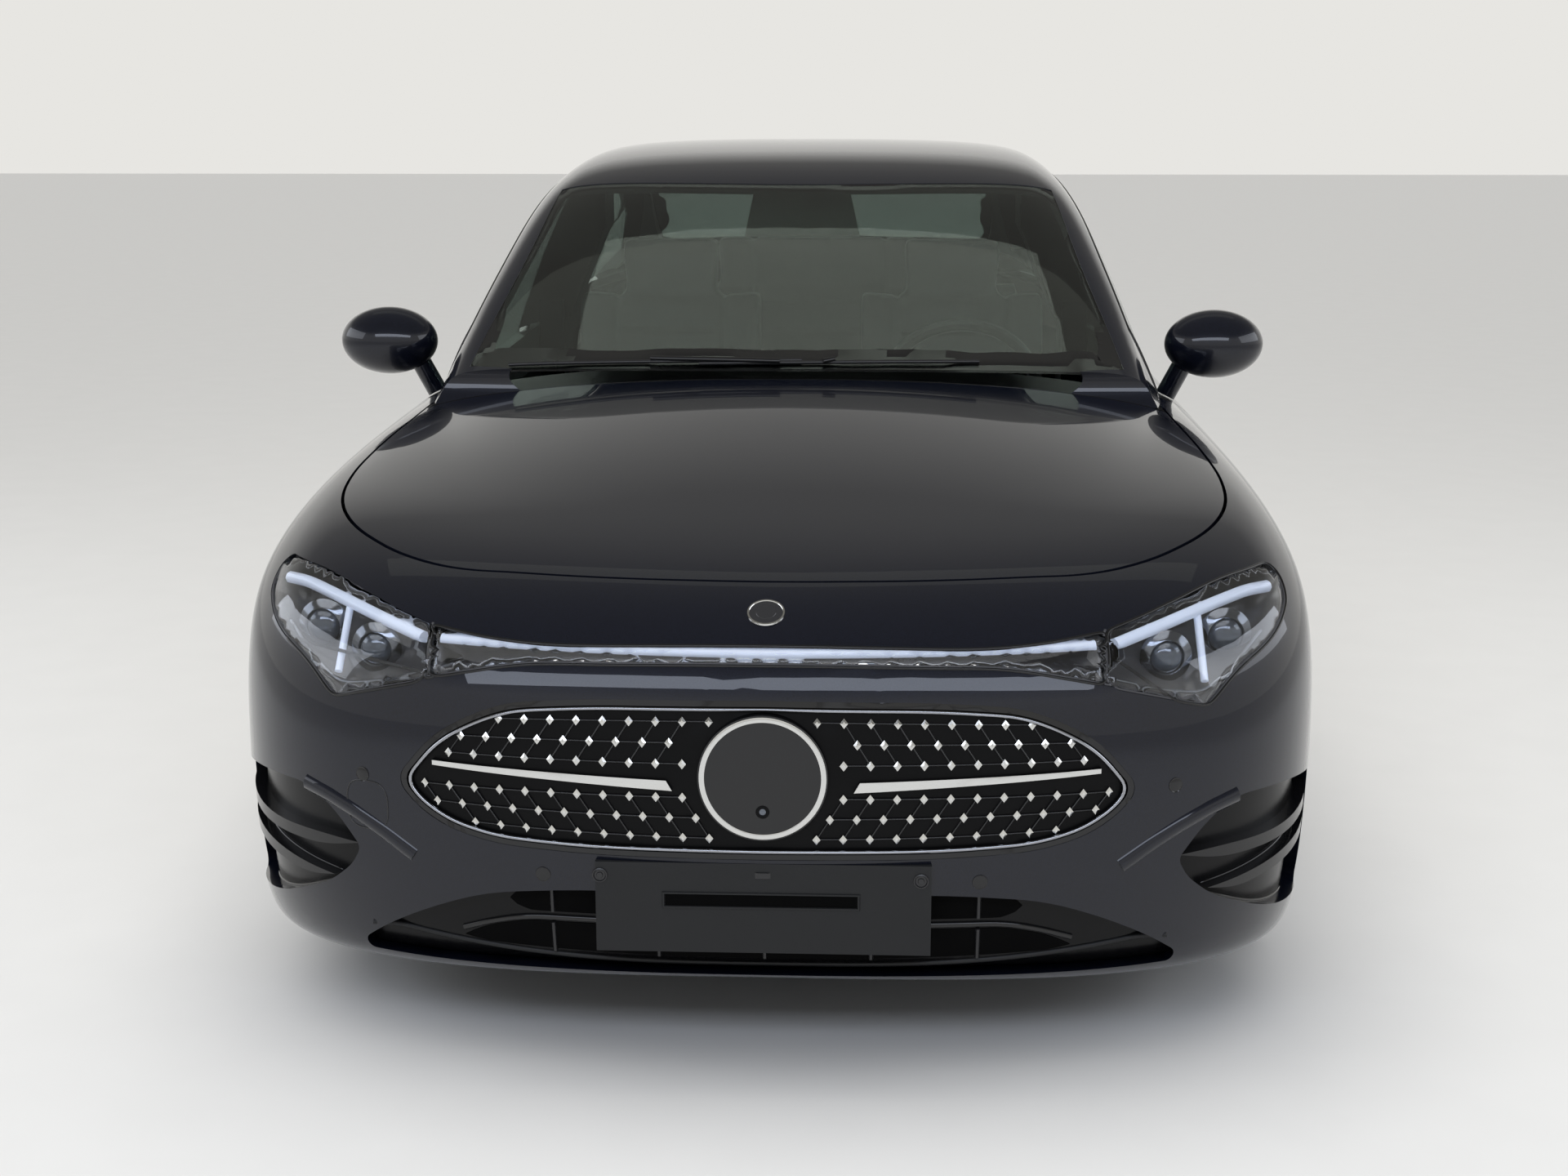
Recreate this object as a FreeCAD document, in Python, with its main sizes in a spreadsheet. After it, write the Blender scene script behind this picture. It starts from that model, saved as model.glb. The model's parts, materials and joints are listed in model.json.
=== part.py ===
import FreeCAD, Part
import Sketcher
import math
import os

# A four-door sedan with a sealed oval grille, a light band between the headlamps and a fastback roof.
# Frame: millimetres, +Z up, the nose points to -Y and the car's left side is +X.
# The origin lies on the ground, halfway along and across the car.

V = FreeCAD.Vector
X_AXIS = V(1, 0, 0)
Y_AXIS = V(0, 1, 0)
Z_AXIS = V(0, 0, 1)
LEFT = 1
RIGHT = -1

doc = FreeCAD.newDocument("Sedan")
sheet = doc.addObject("Spreadsheet::Sheet", "Sizes")

# Driving dimensions, in millimetres, degrees and counts
SIZES = [
    ("overall_length", 4723),
    ("overall_width", 1855),
    ("overall_height", 1468),
    ("wheelbase", 2790),
    ("front_overhang", 870),
    ("track_width", 1610),
    ("ground_clearance", 150),
    ("overrun", 400),
    ("shut_gap", 6),
    ("seat_gap", 0.3),
    # Panels
    ("skin_depth", 26),
    ("door_depth", 96),
    ("door_flange_depth", 28),
    ("door_inset", 34),
    ("roof_depth", 26),
    ("rail_depth", 46),
    ("glass_depth", 5),
    ("glass_recess", 2),
    ("glass_clearance", 6),
    ("hinge_seat_radius", 90),
    ("hinge_inset", 28),
    ("bonnet_seat_radius", 80),
    ("bonnet_depth", 24),
    ("lid_seat_radius", 80),
    ("arch_clearance", 48),
    ("pillar_depth", 130),
    ("post_width", 64),
    ("post_length", 165),
    ("hinge_pocket", 44),
    ("pin_radius", 9),
    ("sill_height", 80),
    ("hinge_lean", 4),
    ("door_corner", 40),
    ("handle_length", 230),
    ("handle_height", 30),
    ("groove_width", 4),
    ("groove_depth", 3),
    ("smallest_piece", 12),
    # Front and rear furniture
    ("lens_recess", 1),
    ("lamp_depth", 60),
    ("lamp_corner", 18),
    ("grille_corner", 30),
    ("grille_recess", 8),
    ("grille_depth", 14),
    ("grille_frame", 9),
    ("blade_recess", 4),
    ("disc_radius", 100),
    ("disc_depth", 40),
    ("disc_recess", 2),
    ("intake_corner", 18),
    ("intake_recess", 26),
    ("splitter_depth", 70),
    ("valance_depth", 8),
    ("valance_fin", 14),
    ("plate_recess_depth", 12),
    # Mirrors
    ("mirror_radius", 100),
    ("mirror_width", 212),
    ("mirror_length", 150),
    ("mirror_height", 148),
    ("mirror_reach", 83),
    ("mirror_foot", 22),
    ("mirror_back_angle", 28),
    # Structure
    ("battery_height", 120),
    ("panel_thickness", 12),
    ("liner_gap", 30),
    ("rail_x", 440),
    ("rail_width", 90),
    ("hub_inset", 30.3),
    ("kingpin_inset", 57),
    ("ball_radius", 16),
    ("hub_radius", 62),
    ("hub_length", 56),
    ("shaft_radius", 20),
    ("arm_width", 70),
    ("brake_radius", 170),
    ("disc_thickness", 24),
    ("brake_clearance", 6),
    ("caliper_leg", 24),
    ("caliper_bridge", 18),
    ("caliper_reach", 120),
    ("caliper_length", 130),
    # Cabin furniture
    ("seat_length", 480),
    ("seat_height", 240),
    ("seat_lean", 180),
    ("seat_back", 800),
    ("bench_back", 760),
    ("seat_thick", 150),
    ("seat_width", 500),
    ("seat_rounding", 30),
    ("head_height", 150),
    ("plate_width", 520),
    ("steering_radius", 178),
    ("steering_grip", 15),
    ("column_tilt", 24),
    ("column_length", 260),
    # Wheels
    ("rim_width", 205),
    ("tyre_radius", 330),
    ("tyre_width", 225),
    ("rim_radius", 236),
    ("rim_lip", 10),
    ("rim_flange", 8),
    ("rim_drop", 20),
    ("rim_wall", 12),
    ("spoke_count", 10),
    ("spoke_width", 46),
    ("spoke_depth", 36),
    ("spoke_recess", 12),
    ("wheel_hub_radius", 72),
]

for number, (alias, value) in enumerate(SIZES, start=1):
    sheet.set("A%d" % number, alias)
    sheet.set("B%d" % number, str(value))
    sheet.setAlias("B%d" % number, alias)
doc.recompute()


class Named:
    """Every driving dimension of the sheet as an attribute."""

    def __getattr__(self, alias):
        return float(sheet.get(alias))


size = Named()

# Main stations along and across the car
nose_y = -size.overall_length / 2
tail_y = size.overall_length / 2
front_axle_y = nose_y + size.front_overhang
rear_axle_y = front_axle_y + size.wheelbase
half_width = size.overall_width / 2
wheel_x = size.track_width / 2
COWL_SHARE = 0.1434


def cabin(share):
    """A place along the car, as a share of the wheelbase behind the front axle."""
    return front_axle_y + share * size.wheelbase


def hood(share):
    """A place on the nose: 0 at the front of the car and 1 at the foot of the windscreen."""
    return nose_y + share * (cabin(COWL_SHARE) - nose_y)


def tail(share):
    """A place on the tail: 0 at the rear of the car and 1 at the rear axle."""
    return tail_y - share * (tail_y - rear_axle_y)


def width_share(share):
    return share * half_width


def height_share(share):
    return share * size.overall_height


# Sculpted surfaces


def bspline(net):
    """A cubic surface over a net of control points, clamped at its four edges."""
    spans = [len(net) - 3, len(net[0]) - 3]
    knots = [[float(k) for k in range(count + 1)] for count in spans]
    mults = [[4] + [1] * (count - 1) + [4] for count in spans]
    surface = Part.BSplineSurface()
    surface.buildFromPolesMultsKnots(net, mults[0], mults[1], knots[0], knots[1], False, False, 3, 3)
    return surface


def inset_net(net, depth):
    """The control net moved inwards along its own normals."""
    moved = []
    for i, row in enumerate(net):
        moved.append([])
        for j, point in enumerate(row):
            along = net[min(i + 1, len(net) - 1)][j] - net[max(i - 1, 0)][j]
            across = row[min(j + 1, len(row) - 1)] - row[max(j - 1, 0)]
            normal = along.cross(across)
            normal.normalize()
            moved[-1].append(point + normal * depth)
    return moved


def blended(values, place):
    """A smooth curve through evenly spaced values; place runs from 0 to 1."""
    spot = min(place, 1.0) * (len(values) - 1)
    k = min(int(spot), len(values) - 2)
    t = spot - k
    a, b, c, d = (values[min(max(k + n, 0), len(values) - 1)] for n in (-1, 0, 1, 2))
    return 0.5 * (2 * b + (c - a) * t + (2 * a - 5 * b + 4 * c - d) * t**2 + (3 * b - a - 3 * c + d) * t**3)


# Plan shape of the front and rear corners: share of the half width, share of the corner's length
CORNER_SHARES = [
    (0.0, 0.0), (0.20, 0.004), (0.38, 0.020), (0.54, 0.048), (0.68, 0.092),
    (0.80, 0.150), (0.895, 0.230), (0.958, 0.325), (0.99, 0.430), (1.0, 0.580), (1.0, 0.80),
]  # fmt: skip
SIDE_COLUMN_SHARES = [0.15, 0.40, 0.65, 0.90]
CORNER_LENGTH_SHARE = 0.203

# The lower body is a stack of closed rings from the underside up to the foot of the cabin. Each ring gives:
# setback from the nose and from the tail as shares of the length, half width at the front corner, side and rear
# corner, corner length front and rear, then its height at the nose, front corner, side, rear corner and tail.
RING_SHARES = [
    (0.0640, 0.0600, (0.930, 0.800, 0.840), 1.10, 1.10, (0.102, 0.090, 0.102, 0.140, 0.160)),
    (0.0150, 0.0250, (0.985, 0.935, 0.950), 1.02, 1.10, (0.102, 0.088, 0.106, 0.148, 0.170)),
    (0.0060, 0.0125, (1.000, 0.965, 0.980), 0.98, 1.00, (0.145, 0.130, 0.146, 0.200, 0.220)),
    (0.0015, 0.0040, (1.004, 0.985, 0.996), 0.98, 1.00, (0.240, 0.232, 0.255, 0.300, 0.316)),
    (0.0000, 0.0000, (1.002, 1.000, 1.000), 1.00, 1.00, (0.341, 0.334, 0.370, 0.405, 0.424)),
    (0.0017, 0.0010, (1.000, 1.000, 1.000), 1.00, 1.00, (0.424, 0.416, 0.465, 0.505, 0.525)),
    (0.0085, 0.0050, (0.993, 0.988, 0.990), 1.05, 1.00, (0.482, 0.490, 0.546, 0.594, 0.614)),
    (0.0230, 0.0090, (0.962, 0.950, 0.955), 1.15, 1.05, (0.521, 0.537, 0.607, 0.662, 0.690)),
    (0.0480, 0.0170, (0.915, 0.892, 0.890), 1.20, 1.10, (0.555, 0.576, 0.641, 0.707, 0.742)),
    (0.1020, 0.0360, (0.858, 0.842, 0.835), 1.20, 1.10, (0.587, 0.604, 0.658, 0.725, 0.758)),
    (0.1800, 0.0900, (0.770, 0.756, 0.750), 1.10, 1.00, (0.631, 0.640, 0.671, 0.735, 0.762)),
    (0.2650, 0.1590, (0.626, 0.626, 0.626), 1.00, 1.00, (0.672, 0.672, 0.682, 0.740, 0.765)),
    (0.3180, 0.2120, (0.486, 0.486, 0.486), 0.90, 0.90, (0.690, 0.690, 0.690, 0.743, 0.765)),
]


def ring_half(ring):
    """Half a ring of control points, from the nose centre round the left side to the tail centre."""
    front_share, rear_share, widths, front_corner, rear_corner, heights = ring
    front = nose_y + front_share * size.overall_length
    rear = tail_y - rear_share * size.overall_length
    corner = CORNER_LENGTH_SHARE * size.overall_length
    front_end = front + front_corner * corner
    rear_end = rear - rear_corner * corner
    plan = [(x, front + s * front_corner * corner) for x, s in CORNER_SHARES]
    plan += [(1.0, front_end + s * (rear_end - front_end)) for s in SIDE_COLUMN_SHARES]
    plan += [(x, rear - s * rear_corner * corner) for x, s in reversed(CORNER_SHARES)]
    points = []
    for k, (x, y) in enumerate(plan):
        around = k / (len(plan) - 1)
        width = blended([widths[0], widths[0], widths[1], widths[2], widths[2]], around)
        points.append(V(x * width * half_width, y, height_share(blended(heights, around))))
    return points


def mirrored(point):
    return V(-point.x, point.y, point.z)


def ring_full(ring):
    half = ring_half(ring)
    return [mirrored(p) for p in reversed(half)] + half[1:]


body_net = [ring_full(ring) for ring in RING_SHARES]


def from_nose(net):
    """The same rings started at the nose centre, so that the tail is the smooth middle of the surface."""
    middle = len(net[0]) // 2
    return [row[middle:] + row[1 : middle + 1] for row in net]


def fitted_body_net():
    """The net stretched a little, so that the surface itself has the overall length and width."""
    samples = []
    for surface in (bspline(body_net), bspline(from_nose(body_net))):
        u_end, v_end = surface.bounds()[1], surface.bounds()[3]
        middle = [v_end * j / 120 for j in range(20, 101)]
        samples += [surface.value(u_end * i / 60, v) for i in range(61) for v in middle]
    first, last = min(p.y for p in samples), max(p.y for p in samples)
    along = size.overall_length / (last - first)
    across = size.overall_width / (2 * max(p.x for p in samples))
    return [[V(p.x * across, nose_y + (p.y - first) * along, p.z) for p in row] for row in body_net]


body_net = fitted_body_net()
tail_net = from_nose(body_net)
surfaces = {}


def surface_of(net, name, depth):
    """The surface over a net at some depth below it, made once."""
    if (name, depth) not in surfaces:
        surfaces[name, depth] = bspline(inset_net(net, depth) if depth else net)
    return surfaces[name, depth]


def body_surface(depth):
    return surface_of(body_net, "body", depth)


def tail_surface(depth):
    return surface_of(tail_net, "tail", depth)


# The cabin: cross-sections from the cowl to the boot. Each gives its place as a share of the wheelbase behind
# the front axle, then the height of the crown and of the foot, and the half width at the foot and at the rail.
CABIN_SHARES = [
    (0.040, 0.590, 0.560, 0.830, 0.760),
    (0.129, 0.671, 0.600, 0.850, 0.775),
    (0.226, 0.776, 0.612, 0.868, 0.752),
    (0.319, 0.873, 0.618, 0.878, 0.715),
    (0.401, 0.952, 0.622, 0.882, 0.682),
    (0.487, 0.988, 0.626, 0.884, 0.660),
    (0.602, 1.005, 0.632, 0.884, 0.645),
    (0.728, 0.998, 0.640, 0.880, 0.634),
    (0.853, 0.964, 0.650, 0.868, 0.620),
    (0.978, 0.902, 0.664, 0.845, 0.606),
    (1.093, 0.832, 0.680, 0.812, 0.600),
    (1.186, 0.770, 0.690, 0.775, 0.600),
    (1.265, 0.700, 0.660, 0.735, 0.600),
]
# Half a cross-section from the foot to the crown: share of the way from foot to rail and of rail to middle, height share
SECTION_SHARES = [
    (-0.10, 0.0, -0.24), (0.0, 0.0, 0.0), (0.30, 0.0, 0.33), (0.68, 0.0, 0.70),
    (1.0, 0.0, 0.915), (1.0, 0.16, 0.975), (1.0, 0.46, 0.995), (1.0, 0.78, 1.0), (1.0, 1.0, 1.0),
]  # fmt: skip


def cabin_section(section):
    place, crown, foot, foot_width, rail_width = section
    half = []
    for outward, inward, rise in SECTION_SHARES:
        x = (foot_width + (rail_width - foot_width) * outward) * (1 - inward)
        z = foot + (crown - foot) * rise
        half.append(V(width_share(x), cabin(place), height_share(z)))
    return [mirrored(p) for p in half] + list(reversed(half[:-1]))


cabin_net = [cabin_section(section) for section in CABIN_SHARES]


def fitted_cabin_net():
    """The net stretched upwards from the foot, so that the roof reaches the overall height."""
    surface = bspline(cabin_net)
    u_end, v_end = surface.bounds()[1], surface.bounds()[3]
    top = max(surface.value(u_end * i / 120, v_end / 2).z for i in range(121))
    base = height_share(CABIN_SHARES[0][2])
    up = (size.overall_height - base) / (top - base)
    return [[V(p.x, p.y, base + (p.z - base) * up) for p in row] for row in cabin_net]


cabin_net = fitted_cabin_net()


def cabin_surface(depth):
    return surface_of(cabin_net, "cabin", depth)


def layer(surface_at, outer, inner, u_range, v_range):
    """A solid between two depths of a sculpted surface, over part of its net."""
    patches = []
    for depth in (outer, inner):
        patch = surface_at(depth).copy()
        patch.segment(u_range[0], u_range[1], v_range[0], v_range[1])
        patches.append(patch)
    a, b = patches
    u0, u1, v0, v1 = a.bounds()
    sides = [(a.uIso(u0), b.uIso(u0)), (a.uIso(u1), b.uIso(u1)), (a.vIso(v0), b.vIso(v0)), (a.vIso(v1), b.vIso(v1))]
    faces = [a.toShape(), b.toShape()]
    faces += [Part.makeRuledSurface(p.toShape(), q.toShape()) for p, q in sides]
    shell = Part.makeShell(faces)
    shell.sewShape()
    solid = Part.makeSolid(shell)
    if solid.Volume < 0:
        solid.reverse()
    return solid



# Cutting tools

SIDE, TOP, FRONT = "side", "top", "front"
VIEWS = {SIDE: (Y_AXIS, Z_AXIS, X_AXIS), TOP: (X_AXIS, Y_AXIS, Z_AXIS), FRONT: (X_AXIS, Z_AXIS, Y_AXIS)}


def inset_outline(outline, inset):
    """The outline moved inwards by one distance all round."""
    count = len(outline)
    area = sum(outline[i - 1][0] * outline[i][1] - outline[i][0] * outline[i - 1][1] for i in range(count))
    turn = 1 if area > 0 else -1
    moved = []
    for i, (a, b) in enumerate(outline):
        pa, pb = outline[i - 1]
        na, nb = outline[(i + 1) % count]
        before = V(a - pa, b - pb, 0)
        after = V(na - a, nb - b, 0)
        before.normalize()
        after.normalize()
        bisector = V(-before.y - after.y, before.x + after.x, 0) * turn
        bisector.normalize()
        cosine = max(bisector.dot(V(-before.y, before.x, 0) * turn), 0.3)
        moved.append((a + bisector.x * inset / cosine, b + bisector.y * inset / cosine))
    return moved


BLUNT_ANGLE = math.radians(66)
STRAIGHT_ANGLE = math.radians(89)


def rounded_wire(points, radius):
    """A closed outline: sharp corners get this radius, and blunt ones flow as far as their sides allow."""
    edges = []
    ends = []
    for i, corner in enumerate(points):
        a = points[i - 1] - corner
        b = points[(i + 1) % len(points)] - corner
        room = 0.49 * min(a.Length, b.Length)
        a.normalize()
        b.normalize()
        half = a.getAngle(b) / 2
        reach = room if half > BLUNT_ANGLE else min(radius / math.tan(half), room)
        if half < STRAIGHT_ANGLE and reach > size.seat_gap:
            centre = a + b
            centre.normalize()
            swing = reach * math.tan(half)
            middle = corner + centre * (swing / math.sin(half) - swing)
            ends.append((corner + a * reach, middle, corner + b * reach))
        else:
            ends.append((corner, None, corner))
    for i, (start, middle, end) in enumerate(ends):
        before = ends[i - 1][2]
        if (start - before).Length > 0.001:
            edges.append(Part.makeLine(before, start))
        if middle:
            edges.append(Part.Arc(start, middle, end).toShape())
    return Part.Wire(edges)


def prism(view, outline, near, far, radius=0.0, inset=0.0):
    """An outline drawn in one view, swept straight through the car."""
    first, second, through = VIEWS[view]
    if inset:
        outline = inset_outline(outline, inset)
    points = [first * a + second * b + through * near for a, b in outline]
    return Part.Face(rounded_wire(points, radius)).extrude(through * (far - near))


def corner_prism(places, side, angle, near, far, radius=0.0, inset=0.0):
    """An outline of places on a corner of the car, swept along a level line at this angle from straight ahead."""
    turn = math.radians(angle)
    out = V(side * math.sin(turn), -math.cos(turn), 0)
    level = Z_AXIS.cross(out)
    outline = [(V(side * x, y, z).dot(level), z) for x, y, z in places]
    if inset:
        outline = inset_outline(outline, inset)
    points = [level * a + Z_AXIS * b + out * near for a, b in outline]
    return Part.Face(rounded_wire(points, radius)).extrude(out * (far - near))


def box(x0, x1, y0, y1, z0, z1):
    return Part.makeBox(x1 - x0, y1 - y0, z1 - z0, V(x0, y0, z0))


def mirror_image(shape):
    return shape.mirror(V(0, 0, 0), X_AXIS)


def doubled(half):
    """Outline of a half shape completed by its mirror image."""
    return half + [(-a, b) for a, b in reversed(half) if abs(a) > 0.01]


def scaled(shares, first, second):
    return [(first(a), second(b)) for a, b in shares]


FAR = 2 * size.overall_length
FULL_BODY = body_surface(0).bounds()
MID_V = FULL_BODY[3] / 2
REACH_V = 13.0


def body_layer(outer, inner, v0, v1, u0=None, u1=None):
    """Part of the lower body's shell, between two depths below its surface."""
    u_range = (FULL_BODY[0] if u0 is None else u0, FULL_BODY[1] if u1 is None else u1)
    return layer(body_surface, outer, inner, u_range, (v0, v1))


def tail_layer(outer, inner, v0, v1, u0=None, u1=None):
    """The same for the tail; v is counted from the tail centre, positive towards the left side."""
    u_range = (FULL_BODY[0] if u0 is None else u0, FULL_BODY[1] if u1 is None else u1)
    return layer(tail_surface, outer, inner, u_range, (MID_V - v1, MID_V - v0))


def drum(radius, length, middle, axis):
    """A cylinder about a point, with its own seam turned clear of the level and upright planes."""
    shape = Part.makeCylinder(radius, length, middle - axis * (length / 2), axis)
    shape.rotate(middle, axis, 33)
    return shape


CABIN_END = cabin_surface(0).bounds()


def cabin_layer(outer, inner, u0=None, u1=None, v0=None, v1=None):
    u_range = (CABIN_END[0] if u0 is None else u0, CABIN_END[1] if u1 is None else u1)
    v_range = (CABIN_END[2] if v0 is None else v0, CABIN_END[3] if v1 is None else v1)
    return layer(cabin_surface, outer, inner, u_range, v_range)


made = []


def keep(label, shape, placement=None):
    """Adds a computed shape to the document under its own name."""
    solids = [s for s in shape.Solids if s.Volume > size.smallest_piece**3]
    shape = solids[0] if len(solids) == 1 else Part.Compound(solids)
    feature = doc.addObject("Part::Feature", label)
    feature.Shape = shape
    feature.Label = label
    made.append(feature)
    return feature


def keep_pair(name, left):
    keep(name + "_left", left)
    keep(name + "_right", mirror_image(left))


# Outlines of the panels, as shares of the stations above

# Bonnet seen from above, from its nose to the end of its side
BONNET_SHARES = [
    (0.0, 0.149), (0.30, 0.158), (0.556, 0.196), (0.67, 0.250), (0.78, 0.345),
    (0.845, 0.457), (0.862, 0.58), (0.850, 0.75), (0.832, 0.90), (0.822, 1.10),
]  # fmt: skip
# Headlamp: across, along the nose, up
LAMP_SHARES = [
    (0.568, 0.106, 0.501), (0.67, 0.17, 0.518), (0.78, 0.24, 0.534), (0.902, 0.342, 0.537), (0.921, 0.292, 0.506),
    (0.885, 0.217, 0.478), (0.80, 0.14, 0.452), (0.745, 0.105, 0.420), (0.567, 0.063, 0.449),
]  # fmt: skip
LAMP_VIEW_ANGLE = 40
# Light band between the headlamps, seen from the front
BAND_SHARES = [(0.0, 0.495), (0.405, 0.489), (0.60, 0.503), (0.60, 0.447), (0.516, 0.458), (0.403, 0.472), (0.0, 0.477)]
# Sealed grille, seen from the front
GRILLE_SHARES = [
    (0.0, 0.443), (0.289, 0.441), (0.422, 0.434), (0.486, 0.420), (0.56, 0.394), (0.628, 0.342),
    (0.591, 0.314), (0.537, 0.293), (0.455, 0.279), (0.293, 0.273), (0.0, 0.272),
]  # fmt: skip
# Bar to each side of the grille's disc
GRILLE_BAR_SHARES = [(0.160, 0.358), (0.350, 0.362), (0.560, 0.366), (0.560, 0.361), (0.350, 0.354), (0.150, 0.347)]
# Lower air intake, seen from the front
INTAKE_SHARES = [(0.0, 0.232), (0.316, 0.232), (0.475, 0.221), (0.58, 0.195), (0.665, 0.165), (0.735, 0.128), (0.0, 0.128)]
# Air curtain at each front corner and the two blades across it: across, along the nose, up
CURTAIN_SHARES = [
    (0.985, 0.330, 0.300), (0.905, 0.200, 0.316), (0.800, 0.118, 0.318), (0.740, 0.095, 0.292), (0.700, 0.080, 0.256),
    (0.718, 0.087, 0.234), (0.767, 0.108, 0.206), (0.892, 0.191, 0.164), (0.985, 0.330, 0.150),
]  # fmt: skip
UPPER_BLADE_SHARES = [(0.985, 0.330, 0.276), (0.906, 0.188, 0.262), (0.780, 0.110, 0.262), (0.704, 0.082, 0.259),
                      (0.780, 0.110, 0.248), (0.906, 0.188, 0.248), (0.985, 0.330, 0.262)]  # fmt: skip
LOWER_BLADE_SHARES = [(0.985, 0.330, 0.246), (0.906, 0.188, 0.229), (0.820, 0.130, 0.219), (0.762, 0.106, 0.214),
                      (0.820, 0.130, 0.207), (0.906, 0.188, 0.215), (0.985, 0.330, 0.232)]  # fmt: skip
CURTAIN_VIEW_ANGLE = 45
# Seam between front bumper and fender, seen from the side
BUMPER_SHARES = [(-0.10, -0.05), (-0.10, 0.530), (0.452, 0.530), (0.452, 0.495), (0.405, 0.440), (0.405, 0.30),
                 (0.452, 0.24), (0.452, -0.05)]  # fmt: skip
# Panel between bonnet and lamps, seen from the front
NOSE_SHARES = [(0.0, 0.487), (0.57, 0.487), (0.79, 0.50), (1.10, 0.50), (1.10, 0.70), (0.0, 0.70)]
NOSE_END_SHARE = 0.452
# Seam between rear bumper and side, seen from the side
TAIL_BUMPER_SHARES = [(-0.10, -0.05), (-0.10, 0.545), (0.20, 0.545), (0.45, 0.500), (0.62, 0.40), (0.62, -0.05)]
# Sunk valance at the foot of the rear bumper, seen from the rear, and its fins
VALANCE_SHARES = [(0.0, 0.310), (0.50, 0.310), (0.62, 0.285), (0.66, 0.235), (0.66, 0.150), (0.0, 0.150)]
VALANCE_FIN_SHARES = (-0.45, -0.27, -0.09, 0.09, 0.27, 0.45)
# Tail lamp on the body: across, along the tail, up
TAIL_LAMP_SHARES = [(0.62, 0.03, 0.655), (0.90, 0.20, 0.660), (0.985, 0.40, 0.668), (0.97, 0.36, 0.630),
                    (0.88, 0.14, 0.600), (0.62, 0.01, 0.598)]  # fmt: skip
TAIL_VIEW_ANGLE = 140
# Boot lid, seen from the rear, and its lamp
LID_SHARES = [(0.0, 0.560), (0.54, 0.560), (0.585, 0.62), (0.60, 0.68), (0.62, 0.86), (0.0, 0.86)]
LID_LAMP_SHARES = [(0.0, 0.640), (0.72, 0.652), (0.72, 0.600), (0.0, 0.606)]
LID_FRONT_SHARE = 1.200
# Doors, seen from the side, along the cabin
DOOR_TOP_SHARE = 0.72
SILL_TOP_SHARE = 0.158
DOOR_INNER_SHARE = 0.80
# Flush door handles: the foot of both, then the rear end of each
HANDLE_FOOT_SHARE = 0.546
FRONT_HANDLE_SHARE = 0.585
REAR_HANDLE_SHARE = 0.885
FRONT_DOOR_SHARE = 0.204
REAR_DOOR_SHARE = 0.608
REAR_DOOR_END_SHARES = [(0.975, 0.72), (0.962, 0.60), (0.935, 0.52), (0.900, 0.445), (0.866, 0.375),
                        (0.850, 0.30), (0.848, 0.158)]  # fmt: skip
# Side windows
WINDOW_SHARES = [
    (0.150, 0.664), (0.235, 0.752), (0.330, 0.842), (0.430, 0.916), (0.520, 0.945), (0.640, 0.952),
    (0.770, 0.938), (0.880, 0.895), (0.975, 0.826), (1.055, 0.752), (1.030, 0.722), (0.960, 0.640),
    (0.640, 0.590), (0.210, 0.590),
]  # fmt: skip
PILLAR_FRONT_SHARE = 0.596
PILLAR_REAR_SHARE = 0.648
REAR_GLASS_END_SHARE = 0.930
# Windscreen, roof and rear window, seen from above
WINDSCREEN_SHARES = [(0.0, 0.120), (0.40, 0.126), (0.74, 0.150), (0.722, 0.19), (0.668, 0.290),
                     (0.632, 0.398), (0.30, 0.388), (0.0, 0.384)]  # fmt: skip
ROOF_SHARES = [(0.0, 0.384), (0.30, 0.388), (0.632, 0.398), (0.612, 0.50), (0.585, 0.70), (0.568, 0.905),
               (0.30, 0.897), (0.0, 0.893)]  # fmt: skip
REAR_WINDOW_SHARES = [(0.0, 0.893), (0.30, 0.897), (0.568, 0.905), (0.600, 1.05), (0.610, 1.20), (0.0, 1.215)]

# Front of the lower body

front_v = (MID_V - REACH_V, MID_V + REACH_V)
front_skin = body_layer(0, size.skin_depth, *front_v)
bonnet_outline = doubled(scaled(BONNET_SHARES, width_share, hood))
floor_level = 0.0
top_level = size.overall_height


def through_top(outline, inset=0.0, radius=0.0):
    return prism(TOP, outline, floor_level + size.overall_height / 3, top_level + size.overrun, radius, inset)


def through_nose(outline, radius=0.0, inset=0.0, far=None):
    return prism(FRONT, outline, nose_y - size.overrun, hood(0.5) if far is None else far, radius, inset)


def through_side(outline, radius=0.0, inset=0.0):
    return prism(SIDE, outline, -half_width - size.overrun, half_width + size.overrun, radius, inset)


def hood_places(shares):
    return [(width_share(x), hood(y), height_share(z)) for x, y, z in shares]


def tail_places(shares):
    return [(width_share(x), tail(y), height_share(z)) for x, y, z in shares]


corner_far = size.overall_length
lamp_holes = [corner_prism(hood_places(LAMP_SHARES), side, LAMP_VIEW_ANGLE, 0, corner_far, size.lamp_corner)
              for side in (LEFT, RIGHT)]  # fmt: skip
band_outline = doubled(scaled(BAND_SHARES, width_share, height_share))
band_hole = through_nose(band_outline)
grille_outline = doubled(scaled(GRILLE_SHARES, width_share, height_share))
grille_hole = through_nose(grille_outline, size.grille_corner)
intake_outline = doubled(scaled(INTAKE_SHARES, width_share, height_share))
intake_hole = through_nose(intake_outline, size.intake_corner, far=hood(0.3))
curtain_holes = [corner_prism(hood_places(CURTAIN_SHARES), side, CURTAIN_VIEW_ANGLE, 0, corner_far,
                              size.intake_corner) for side in (LEFT, RIGHT)]  # fmt: skip
bumper_zone = through_side(scaled(BUMPER_SHARES, hood, height_share))
nose_zone = prism(FRONT, doubled(scaled(NOSE_SHARES, width_share, height_share)),
                  nose_y - size.overrun, hood(NOSE_END_SHARE))  # fmt: skip
arch_radius = size.tyre_radius + size.arch_clearance
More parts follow.
